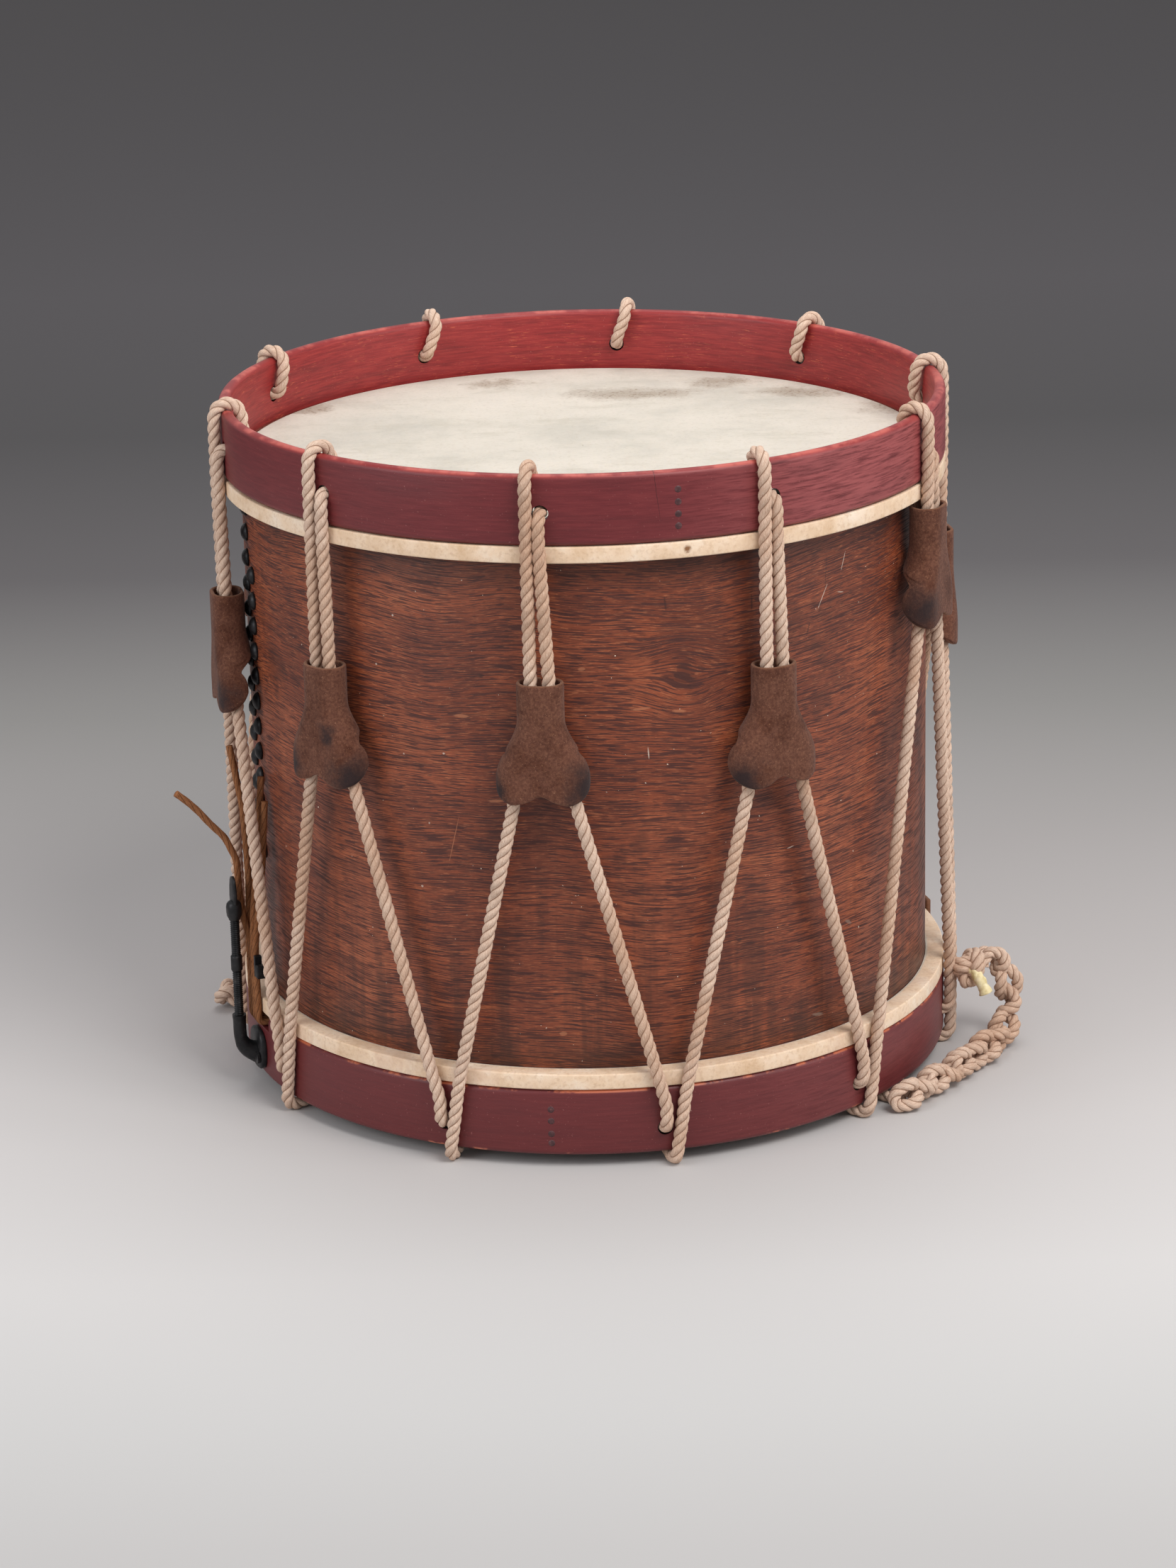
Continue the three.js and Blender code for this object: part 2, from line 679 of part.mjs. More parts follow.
function buildBracket(frame) {
  const plateLow = lowerHoopBottom + footPlateRise;
  const plateMiddle = plateFace + footPlateThickness / 2;
  const plate = block(footPlateThickness, footPlateWidth, footPlateHeight,
    plateMiddle, 0, plateLow + footPlateHeight / 2);
  const web = block(rodRadial - plateFace, webWidth, webHeight,
    (rodRadial + plateFace) / 2, 0, plateLow + footPlateHeight - webHeight / 2);
  const socket = post(socketDiameter / 2, socketHeight, rodRadial, 0, socketTop - socketHeight);
  const bore = post(rodDiameter / 2 + rodBoreClearance, rodSeatDepth + overrun, rodRadial, 0, rodBottom - clearance);
  const screwHeight = plateLow + footPlateHeight / 3;
  const holes = [-1, 1].map((side) => pin(bracketScrewShank / 2 + clearance, footPlateThickness + 2 * overrun,
    'x', plateMiddle, (side * bracketScrewWidth) / 2, screwHeight));
  add('strainer_bracket', cut(join([plate, web, socket]), [bore, ...holes]), 'iron', frame);
  const face = plateFace + footPlateThickness + clearance;
  [-1, 1].forEach((side, i) => {
    const across = (side * bracketScrewWidth) / 2;
    const head = pin(bracketScrewDiameter / 2, bracketScrewHead, 'x', face + bracketScrewHead / 2, across, screwHeight);
    const shank = pin(bracketScrewShank / 2, footPlateThickness, 'x', plateMiddle + clearance, across, screwHeight);
    add(`bracket_screw_${i + 1}`, join([head, shank]), 'iron', frame);
  });
}

function buildScrew(frame) {
  const rodTop = socketTop + rodLength;
  const rod = post(rodDiameter / 2, rodTop - rodBottom + clearance, rodRadial, 0, rodBottom);
  const head = post(thumbNeckDiameter / 2, thumbHeadHeight, rodRadial, 0, rodTop, 12, thumbHeadDiameter / 2);
  const leaf = block(thumbLeafThickness, thumbLeafWidth, thumbLeafHeight,
    rodRadial, 0, rodTop + thumbHeadHeight - clearance + thumbLeafHeight / 2);
  add('strainer_screw', join([rod, head, leaf]), 'iron', frame);
}

// The carriage rides on the rod and grips the four guts in its window, where
// the bolt pushes the jaw against them.
function buildCarriage(frame) {
  const gutHalf = 1.5 * gutPitch + gutDiameter / 2 + clearance;
  const windowDepth = gutDiameter + 2 * clearance;
  const inner = gutRadial - windowDepth / 2 - carriageWall;
  const outer = rodRadial + rodDiameter / 2 + carriageRodWall;
  const low = -gutHalf - carriageWall;
  const windowEnd = gutHalf + jawThickness + jawTravel + clearance;
  const high = windowEnd + boltWall;
  const tall = carriageHeight + 2 * overrun;
  const body = block(outer - inner, high - low, carriageHeight, (outer + inner) / 2, (high + low) / 2, gutSplit);
  const window = block(windowDepth, windowEnd + gutHalf, tall, gutRadial, (windowEnd - gutHalf) / 2, gutSplit);
  const bore = post(rodDiameter / 2 + rodBoreClearance, tall, rodRadial, 0, carriageBottom - overrun);
  const boltBore = pin(boltDiameter / 2 + clearance, boltWall + 2 * overrun, 'y', gutRadial, windowEnd + boltWall / 2, gutSplit);
  const waist = block(outer - inner, high, tall, gutRadial + windowDepth / 2 + carriageWall + (outer - inner) / 2,
    rodDiameter / 2 + rodBoreClearance + carriageRodWall + high / 2, gutSplit);
  add('strainer_carriage', cut(body, [window, bore, boltBore, waist]), 'iron', frame);
  add('strainer_jaw', block(gutDiameter, jawThickness, carriageHeight - 2 * clearance,
    gutRadial, gutHalf + jawThickness / 2, gutSplit), 'iron', frame);
  const boltStart = gutHalf + jawThickness + clearance;
  const headStart = high + clearance;
  const shaft = pin(boltDiameter / 2, headStart - boltStart + boltHeadHeight / 2, 'y',
    gutRadial, (headStart + boltHeadHeight / 2 + boltStart) / 2, gutSplit);
  const head = block(boltHeadWidth, boltHeadHeight, boltHeadWidth, gutRadial, headStart + boltHeadHeight / 2, gutSplit);
  add('clamp_bolt', join([shaft, head]), 'iron', frame);
}

// Two guts, each doubled under the snare head: in at one gate, round the butt
// at the other and back, with both ends up in the strainer.
function buildGuts(frame) {
  const turn = gutTurnRadius;
  const buttFace = plateFace + buttThickness + clearance + gutDiameter / 2;
  for (const side of [-1, 1]) {
    const near = (side * gutPitch) / 2;
    const far = (side * 3 * gutPitch) / 2;
    const rise = (across) => [
      [gutRadial, across, gutSplit - clearance / 2], [gutRadial, across, gutUnder + turn],
      [gutRadial - turn * (1 - Math.SQRT1_2), across, gutUnder + turn * (1 - Math.SQRT1_2)],
      [gutRadial - turn, across, gutUnder],
    ];
    const bow = gutPitch / 2;
    const loop = [
      [-buttFace + bow, near, gutUnder],
      [-buttFace + bow * (1 - Math.SQRT1_2), near + side * bow * (1 - Math.SQRT1_2), gutUnder],
      [-buttFace, (near + far) / 2, gutUnder],
      [-buttFace + bow * (1 - Math.SQRT1_2), far - side * bow * (1 - Math.SQRT1_2), gutUnder],
      [-buttFace + bow, far, gutUnder],
    ];
    const route = [...rise(near), ...loop, ...rise(far).reverse()];
    add(`snare_gut_${side < 0 ? 1 : 2}`, tube(points(route), gutDiameter / 2), 'gut', frame);
  }
  const start = gutSplit + clearance / 2;
  const leave = carriageBottom + carriageHeight + gutDiameter;
  gutEndShares.forEach((end, i) => {
    const across = (i - 1.5) * gutPitch;
    const route = [[gutRadial, across, start], [gutRadial, across, leave]];
    for (const [out, aside, up] of end) {
      route.push([gutRadial + out * gutEndLength, aside * gutEndLength, leave + up * gutEndLength]);
    }
    add(`gut_tail_${i + 1}`, tube(points(route), gutDiameter / 2), 'gut', frame);
  });
}

function buildButt(frame) {
  const low = lowerHoopBottom + buttRise;
  const half = buttWidth / 2 / hoopRadius;
  const outline = new THREE.Shape();
  outline.absarc(0, 0, plateFace + buttThickness, -half, half, false);
  outline.absarc(0, 0, plateFace, half, -half, true);
  const patch = new THREE.ExtrudeGeometry(outline, { depth: buttHeight, bevelEnabled: false, curveSegments: 6 })
    .translate(0, 0, low);
  const depth = buttThickness + 2 * overrun;
  const slots = [-1, 1].map((side) => block(depth, gutPitch + gutDiameter + 2 * clearance,
    gutDiameter + 2 * clearance, plateFace + buttThickness / 2, side * gutPitch, gutUnder));
  const screwHeight = low + buttScrewRise;
  const tilt = buttScrewWidth / 2 / hoopRadius;
  const holes = [-1, 1].map((side) => pin(buttScrewShank / 2 + clearance, depth, 'x',
    plateFace + buttThickness / 2, 0, screwHeight).rotateZ(side * tilt));
  add('butt_leather', cut(patch, [...slots, ...holes]), 'suede', frame);
  const face = plateFace + buttThickness + clearance;
  [-1, 1].forEach((side, i) => {
    const head = pin(buttScrewDiameter / 2, buttScrewHead, 'x', face + buttScrewHead / 2, 0, screwHeight);
    const shank = pin(buttScrewShank / 2, buttThickness, 'x', face - buttThickness / 2, 0, screwHeight);
    const mesh = add(`butt_screw_${i + 1}`, join([head, shank]), 'iron', frame);
    mesh.rotation.z = side * tilt;
  });
}

buildShell();
buildHead('batter_head', 'batter_flesh_hoop', batterFace, upperFleshBottom, false);
buildHead('snare_head', 'snare_flesh_hoop', batterFace, upperFleshBottom, true);
buildHoops();
buildRope();
buildKnot();
buildTail();
const strainer = sideFrame(strainerAngle);
buildBracket(strainer);
buildScrew(strainer);
buildCarriage(strainer);
buildGuts(strainer);
buildButt(sideFrame(buttAngle));

export default drum;
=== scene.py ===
# Rope-tensioned field drum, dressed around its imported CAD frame: bent oak shell,
# painted hoops, skin heads, laid rope with suede ears, a screw strainer with gut
# snares and a plaited rope tail. Lengths are in millimetres until a mesh is made.

import math

import bmesh
import bpy
import numpy as np
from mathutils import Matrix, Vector


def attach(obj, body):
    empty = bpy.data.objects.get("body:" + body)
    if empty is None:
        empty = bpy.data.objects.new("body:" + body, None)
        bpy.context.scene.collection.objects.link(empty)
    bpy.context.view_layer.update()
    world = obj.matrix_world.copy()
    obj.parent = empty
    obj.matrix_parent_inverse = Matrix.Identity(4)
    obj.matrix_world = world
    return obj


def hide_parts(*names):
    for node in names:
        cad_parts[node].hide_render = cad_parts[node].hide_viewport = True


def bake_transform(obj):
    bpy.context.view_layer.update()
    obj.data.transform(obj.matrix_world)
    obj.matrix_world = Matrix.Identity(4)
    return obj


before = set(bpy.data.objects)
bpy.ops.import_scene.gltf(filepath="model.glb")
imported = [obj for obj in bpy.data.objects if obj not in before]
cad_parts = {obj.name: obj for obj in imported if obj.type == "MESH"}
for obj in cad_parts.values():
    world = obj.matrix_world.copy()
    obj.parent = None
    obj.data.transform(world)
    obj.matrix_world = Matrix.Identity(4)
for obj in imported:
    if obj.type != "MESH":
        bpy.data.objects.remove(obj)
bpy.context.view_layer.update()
print("frame loaded:", len(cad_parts), "nodes")

mm = 0.001
fullTurn = 2 * math.pi

# Heights and radii of the CAD drum.
drumPlan = {
    "shellRadius": 203.2, "shellWall": 6, "hoopRadius": 214.6, "hoopInner": 207.6,
    "clearance": 0.3, "ropeRadius": 4, "ropeOut": 218.9, "ropeIn": 202.66,
    "lowerHoopBottom": 7.5, "lowerHoopTop": 47.9, "lowerFleshTop": 57.6,
    "upperFleshBottom": 359.6, "upperFleshTop": 369.0, "upperHoopBottom": 369.3, "upperHoopTop": 409.7,
    "batterFace": 373.3, "middle": 208.6, "shellBottom": 45.0, "shellTop": 372.2,
    "strainerAngle": -160.4, "buttAngle": 19.6, "ventAngle": 100,
}
# Where the ears and feet stand round the drum, and how far down each ear is drawn.
lacingPlan = {
    "spans": 10, "firstAngle": -97.6, "upperStop": 355.9, "travel": 70.97,
    "earShifts": [0.5, 0.2, 1.6, 0.1, 2, 0.7, -0.6, 0.1, 2.3, 0.2],
    "footShifts": [1.2, 0.3, 0, 1.6, 1.2, 0.8, 1.8, 1.4, 4, 2.4],
    "earDrops": [0.89, 0.88, 0, 0.68, 0.8, 0.84, 0.67, 0.52, 0.755, 0.94],
}
spans = lacingPlan["spans"]


def earAngle(k):
    return lacingPlan["firstAngle"] + 360 / spans * k + lacingPlan["earShifts"][k % spans]


def footAngle(k):
    return lacingPlan["firstAngle"] + 360 / spans * (k + 0.5) + lacingPlan["footShifts"][k % spans]


def earHeight(k):
    return lacingPlan["upperStop"] - lacingPlan["earDrops"][k % spans] * lacingPlan["travel"]


def around(angle, across, height, radius):
    turn = math.radians(angle) + across / drumPlan["ropeOut"]
    return (radius * math.cos(turn), radius * math.sin(turn), height)


def inFrame(angle, points):
    turn = math.radians(angle)
    line = np.array(points, float)
    x, y = line[:, 0].copy(), line[:, 1].copy()
    line[:, 0] = x * math.cos(turn) - y * math.sin(turn)
    line[:, 1] = x * math.sin(turn) + y * math.cos(turn)
    return line


def outAndSide(angle):
    turn = math.radians(angle)
    return (math.cos(turn), math.sin(turn), 0), (-math.sin(turn), math.cos(turn), 0)


def linkObject(name, data):
    item = bpy.data.objects.new(name, data)
    bpy.context.collection.objects.link(item)
    return item


cameraPlan = {
    "place": (0, -2.577668, 1.011857), "lens": 102.402, "sensor": 36,
    "right": (0.9997425, -0.00656689, -0.0217213),
    "up": (0.02268514, 0.31321238, 0.94941213),
    "back": (0.000568694, -0.949660402, 0.313280701),
}


def buildCamera():
    data = bpy.data.cameras.new("photoCamera")
    data.sensor_width, data.lens = cameraPlan["sensor"], cameraPlan["lens"]
    data.clip_start, data.clip_end = 0.1, 60
    camera = linkObject("photoCamera", data)
    for column, axis in enumerate(("right", "up", "back", "place")):
        for row in range(3):
            camera.matrix_world[row][column] = cameraPlan[axis][row]
    bpy.context.scene.camera = camera
    bpy.context.scene.view_settings.view_transform = "Standard"


buildCamera()
print("camera placed")


def paint(red, green, blue):
    def linear(level):
        level /= 255
        return level / 12.92 if level <= 0.04045 else ((level + 0.055) / 1.055) ** 2.4
    return (linear(red), linear(green), linear(blue), 1)


def fill(item, sockets):
    for key, value in sockets.items():
        if isinstance(value, Field):
            item.id_data.links.new(value.socket, item.inputs[key])
        else:
            item.inputs[key].default_value = value


def put(tree, kind, sockets, out=0, **settings):
    item = tree.nodes.new("ShaderNode" + kind)
    for key, value in settings.items():
        setattr(item, key, value)
    fill(item, sockets)
    return Field(item.outputs[out])


# The output of a node. Sums and products with it add Math nodes to its tree.
class Field:
    def __init__(self, socket):
        self.socket = socket

    def put(self, kind, sockets, out=0, **settings):
        return put(self.socket.id_data, kind, sockets, out, **settings)

    def maths(self, operation, first, second=0.0):
        return self.put("Math", {0: first, 1: second}, operation=operation)

    def of(self, operation):
        return self.maths(operation, self)

    def __add__(self, other):
        return self.maths("ADD", self, other)

    def __sub__(self, other):
        return self.maths("SUBTRACT", self, other)

    def __rsub__(self, other):
        return self.maths("SUBTRACT", other, self)

    def __mul__(self, other):
        return self.maths("MULTIPLY", self, other)

    def __truediv__(self, other):
        return self.maths("DIVIDE", self, other)

    # band rises from 0 to 1 between two values, fade falls, between does one after the other
    def band(self, low, high):
        return self.put("MapRange", {"Value": self, "From Min": low, "From Max": high},
                        interpolation_type="SMOOTHSTEP")

    def fade(self, low, high):
        return 1.0 - self.band(low, high)

    def between(self, low, full, last, high):
        return self.band(low, full) * self.fade(last, high)

    def noise(self, scale, detail=3.0, rough=0.55):
        return self.put("TexNoise", {"Vector": self, "Scale": scale, "Detail": detail, "Roughness": rough})

    def stretch(self, *amounts):
        return self.put("Mapping", {"Vector": self, "Scale": amounts})

    def parts(self):
        return [Field(out) for out in self.put("SeparateXYZ", {0: self}).socket.node.outputs]

    def awayFrom(self, spot):
        return self.put("VectorMath", {0: self, 1: [c * mm for c in spot]}, "Value", operation="DISTANCE")

    # each stop is its place and a colour, or its place and a grey level
    def ramp(self, *stops):
        shown = self.put("ValToRGB", {0: self})
        points = shown.socket.node.color_ramp.elements
        while len(points) < len(stops):
            points.new(0.5)
        for point, (place, *tone) in zip(points, stops):
            point.position = place
            point.color = paint(*tone) if len(tone) == 3 else (*tone * 3, 1)
        return shown

    # each layer is its share and its tone, laid over what is there
    def tints(self, *layers, kind="MIX"):
        colour = self
        for share, tone in layers:
            tone = tone if isinstance(tone, Field) else paint(*tone)
            colour = self.put("Mix", {0: share, 6: colour, 7: tone}, 2, data_type="RGBA", blend_type=kind)
        return colour


def combine(x, y, z):
    return x.put("CombineXYZ", {0: x, 1: y, 2: z})


def wrapped(angle, level, radius, upright):
    return combine(angle.of("COSINE") * radius, angle.of("SINE") * radius, level * upright)


def newMaterial(name):
    material = bpy.data.materials.new(name)
    material.use_nodes = True
    return material, put(material.node_tree, "TexCoord", {}, "Object")


def uvPlace(material):
    return put(material.node_tree, "UVMap", {}, uv_map="UVMap")


# The relief is a height with its strength and its depth in metres.
def finishMaterial(material, colour, sockets, relief=None):
    tree = material.node_tree
    if relief:
        height, strength, depth = relief
        sockets["Normal"] = put(tree, "Bump", {"Height": height, "Strength": strength, "Distance": depth})
    fill(tree.nodes["Principled BSDF"], {"Base Color": colour, **sockets})
    return material


def meshPiece(name, points, faces, material=None, uvs=None, smooth=True):
    mesh = bpy.data.meshes.new(name)
    faces = faces if isinstance(faces, list) else faces.tolist()
    mesh.from_pydata((np.asarray(points) * mm).tolist(), [], faces)
    if uvs is not None:
        layer = mesh.uv_layers.new(name="UVMap")
        layer.data.foreach_set("uv", np.asarray(uvs, np.float32).ravel())
    mesh.polygons.foreach_set("use_smooth", [smooth] * len(mesh.polygons))
    mesh.update()
    piece = linkObject(name, mesh)
    if material:
        mesh.materials.append(material)
    return piece


def unit(rows):
    return rows / np.linalg.norm(rows, axis=-1, keepdims=True)


def ringTurns(count):
    return fullTurn * np.arange(count) / count


def runningLengths(line):
    return np.concatenate([[0], np.cumsum(np.linalg.norm(np.diff(line, axis=0), axis=1))])


def evenLine(line, gap):
    length = runningLengths(line)
    wanted = np.linspace(0, length[-1], max(2, int(round(length[-1] / gap)) + 1))
    return np.stack([np.interp(wanted, length, line[:, i]) for i in range(3)], axis=1)


# A line through the points with its corners rounded, in even steps.
def smoothLine(points, step, blur, closed=False, fineStep=0.5):
    line = np.array(points, float)
    if closed:
        line = np.vstack([line, line[:1]])
    line = evenLine(line, fineStep)
    reach = int(6 * blur)
    kernel = np.exp(-0.5 * (np.arange(-reach, reach + 1) * fineStep / blur) ** 2)
    kernel /= kernel.sum()
    if closed:
        padded = np.concatenate([line[-reach - 1:-1], line, line[1:reach + 1]])
    else:
        padded = np.concatenate([2 * line[0] - line[reach:0:-1], line, 2 * line[-1] - line[-2:-reach - 2:-1]])
    line = np.stack([np.convolve(padded[:, i], kernel, "valid") for i in range(3)], axis=1)
    return evenLine(line, step)


# Side and cross directions carried along a line without turning about it.
def carriedFrames(line, first=(0, 0, 1)):
    along = unit(np.gradient(line, axis=0))
    side = np.array(first, float)
    sides = np.zeros_like(line)
    for i, way in enumerate(along):
        side = side - way * side.dot(way)
        size = np.linalg.norm(side)
        if size < 1e-6:
            side = np.cross(way, (1, 0, 0))
            size = np.linalg.norm(side)
        side = side / size
        sides[i] = side
    return along, sides, np.cross(along, sides)


# Rings of points round a line. The profile gives the angle and radius of each corner
# and the turns give how far each ring is twisted.
def sweptRings(line, sides, crosses, profile, turns, scales=None):
    angles = profile[0][None, :] + np.asarray(turns)[:, None]
    radii = profile[1][None, :] * (1 if scales is None else np.asarray(scales)[:, None])
    spread = sides[:, None, :] * np.cos(angles)[..., None] + crosses[:, None, :] * np.sin(angles)[..., None]
    return line[:, None, :] + spread * radii[..., None]


def tubeFaces(rings, count, start=0, caps=True):
    i, j = np.arange(rings - 1)[:, None], np.arange(count)[None, :]
    after = (j + 1) % count
    quads = np.stack(np.broadcast_arrays(i * count + j, i * count + after,
                                         (i + 1) * count + after, (i + 1) * count + j), axis=-1)
    faces = (quads.reshape(-1, 4) + start).tolist()
    if caps:
        last = start + (rings - 1) * count
        faces += [[start + j for j in reversed(range(count))], [last + j for j in range(count)]]
    return faces


def tubeUvs(places, lengths):
    shape = (len(lengths) - 1, len(places))
    low, high = np.broadcast_to(lengths[:-1, None], shape), np.broadcast_to(lengths[1:, None], shape)
    left, right = np.broadcast_to(places, shape), np.broadcast_to(np.append(places[1:], places[0] + 1), shape)
    return np.stack([left, low, right, low, right, high, left, high], axis=-1).reshape(-1, 2)


# Faces of a sheet whose points lie in columns, each with the same count of rows.
def sheetFaces(columns, rows):
    corner = np.arange((columns - 1) * rows).reshape(columns - 1, rows)[:, :-1].ravel()
    return np.stack([corner, corner + 1, corner + rows + 1, corner + rows], axis=1)


ropeLook = {
    "radius": 3.95, "bulge": 0.62, "lay": 19.5, "knotLay": 17.0, "step": 1.0, "fuzz": 0.5, "knotFuzz": 0.4,
    "floorGap": 0.05, "strandSpots": (-1, -0.9, -0.7, -0.43, -0.15, 0.15, 0.43, 0.7, 0.9),
}
fuzzLook = {"halfWidth": 0.045, "shortest": 0.7, "longest": 2.0, "lean": 0.9, "bend": 0.7, "taper": 0.8}


# The outline of a laid cord, its strands as overlapping circles: angles and radii.
def strandProfile(radius, bulge=ropeLook["bulge"], strands=3, spots=ropeLook["strandSpots"]):
    half = math.pi / strands
    local = np.array(spots) * half
    reach = (1 - bulge) * np.cos(local) + np.sqrt(bulge ** 2 - ((1 - bulge) * np.sin(local)) ** 2)
    return np.concatenate([local + 2 * half * i for i in range(strands)]), np.tile(reach, strands) * radius


# Loose fibres that stand off a rope, as thin bent blades.
def fuzzHairs(rings, line, lengths, random, share, start):
    look = fuzzLook
    total = int(len(line) * share)
    i, j = random.integers(1, len(line) - 1, total), random.integers(0, rings.shape[1], total)

    def anyWay():
        return random.normal(size=(total, 3))

    base = rings[i, j]
    way = unit(unit(base - line[i]) + look["lean"] * unit(anyWay()))
    side = unit(np.cross(way, anyWay())) * look["halfWidth"]
    reach = random.uniform(look["shortest"], look["longest"], total)[:, None] / 2
    middle = base + way * reach
    tip = middle + unit(way + look["bend"] * unit(anyWay())) * reach
    upper = side * look["taper"]
    points = np.stack([base - side, base + side, middle + upper, middle - upper, tip], axis=1)
    faces = []
    for a in (start + 5 * np.arange(total)).tolist():
        faces += [[a, a + 1, a + 2, a + 3], [a + 3, a + 2, a + 4]]
    return points.reshape(-1, 3), faces, np.repeat(np.stack([np.zeros(total), lengths[i] * mm], axis=1), 7, axis=0)


# One or more stretches of laid rope as a single piece. Each stretch is its line,
# sides, crosses, turns, running lengths and scales.
def ropePiece(name, stretches, material, profile, flatten=True, caps=True, fuzz=0.0):
    points, faces, uvs, start = [], [], [], 0
    count = len(profile[0])
    random = np.random.default_rng(len(stretches[0][0]) + len(name))
    for line, sides, crosses, turns, lengths, scales in stretches:
        rings = sweptRings(line, sides, crosses, profile, turns, scales)
        points.append(rings.reshape(-1, 3))
        faces += tubeFaces(len(line), count, start, caps)
        uvs.append(tubeUvs(profile[0] / fullTurn, lengths * mm))
        if caps:
            uvs.append(np.zeros((2 * count, 2)))
        start += len(line) * count
        if fuzz:
            hairs, hairFaces, hairUvs = fuzzHairs(rings, line, lengths, random, fuzz, start)
            points.append(hairs)
            faces += hairFaces
            uvs.append(hairUvs)
            start += len(hairs)
    points = np.concatenate(points)
    if flatten:
        # nothing of the rope goes through the floor
        points[:, 2] = np.maximum(points[:, 2], ropeLook["floorGap"])
    return meshPiece(name, points, faces, material, np.concatenate(uvs))


def ropeStretch(points, step, lay, blur, first=(0, 0, 1), turn=0.0, scales=None):
    line = smoothLine(points, step, blur)
    _, sides, crosses = carriedFrames(line, first)
    lengths = runningLengths(line)
    if scales is not None:
        scales = np.interp(lengths / lengths[-1], [place for place, _ in scales], [size for _, size in scales])
    return line, sides, crosses, turn + fullTurn * lengths / lay, lengths, scales


def makeRopeMaterial(name="laidRope", lay=0.0195, strands=3, straight=1.0,
                     tones=((193, 159, 138), (221, 191, 170), (240, 219, 200)), valleyShadeTone=(146, 112, 90)):
    material, place = newMaterial(name)
    # u counts turns round the cord and v is metres along it
    u, v, _ = uvPlace(material).parts()
    valley = (u * (strands * math.pi)).of("COSINE").of("ABSOLUTE")
    fibrePlace = wrapped((u + v * (straight / lay)) * fullTurn, v, 1.0, 45)
    fibre, fine = fibrePlace.noise(9, 4, 0.7), fibrePlace.noise(24, 2, 0.6)
    dirt, patches = place.noise(38, 4, 0.6), place.noise(11, 3, 0.6)
    low, middle, high = tones
    colour = (fibre * 0.65 + fine * 0.35).ramp((0.36, *low), (0.5, *middle), (0.64, *high))
    colour = colour.tints((patches.band(0.45, 0.7), (233, 220, 210)), kind="MULTIPLY")
    # darker dirt in patches, then painted shade along the valleys between the strands
    colour = colour.tints((dirt.band(0.52, 0.74) * 0.35, [level * 0.8 for level in low]),
                          (valley.fade(0.0, 0.34), valleyShadeTone))
    return finishMaterial(material, colour, {"Roughness": 0.9, "Specular IOR Level": 0.15},
                          (fibre + fine * 0.6, 0.5, 0.0009))


plaitRoute = [
    (236.3, -22.7, 50.5), (241, -19.5, 50.5), (247.5, -17.5, 49), (253, -18.5, 43), (255.8, -22, 32),
    (255.5, -28.5, 20), (252.8, -37, 12),
    (248, -47, 9), (242.5, -58, 9), (235, -70, 9), (227.5, -81, 9), (219, -93, 9), (210, -104.5, 9),
    (200.5, -118, 9), (191, -131.5, 9), (181, -145, 9),
]
tailRopeRoute = [
    (180.5, -130, 3.2), (170, -121.5, 3.2), (150, -106, 3.2), (110, -76, 3.2), (60, -43, 3.2), (0, -10, 3.2),
    (-60, 14, 3.2), (-120, 31, 3.2), (-170, 43.5, 3.2), (-200, 51.3, 3.2), (-216, 55.5, 3.2),
]
plaitLook = {
    "pitch": 14.0, "strand": 3.95, "width": 5.4, "depth": 4.4, "diameter": 18, "lay": 17.0, "drawnIn": 3.5,
    "spacing": 0.5, "roll": 0.5, "rollSpread": 0.3, "swell": (-0.1, 0.16), "jitter": (0.5, 0.5, 0.4), "startTurn": 1.3,
    "firstSide": (0.6, 0.2, 0.77), "linkLong": 1.3, "leastLinks": 1.35, "pathGap": 4.0, "seed": 7,
    # one leg of a link: along in pitches, aside in widths, out in depths
    "leg": [(-0.05, 0.25, -0.9), (0.12, 0.34, -0.1), (0.38, 0.7, 0.85), (0.75, 1.0, 0.95),
            (1.05, 1.04, 0.25), (1.24, 0.62, -0.62), (1.3, 0, -1.0)],
}
tailLook = {"knotGap": 13.3, "knotHeight": 8.6, "knotReach": 9.2, "knotDepth": 3.6, "knotTurn": 0.3,
            "knotStrand": 4.1, "diameter": 8, "pathGap": 5.0}


def placeAlong(line, along, sides, crosses, spots):
    gap = np.linalg.norm(line[1] - line[0])
    placed = []
    for s, x, h in spots:
        i = int(np.clip(round(s / gap), 0, len(line) - 1))
        placed.append(line[i] + along[i] * (s - i * gap) + sides[i] * h + crosses[i] * x)
    return placed


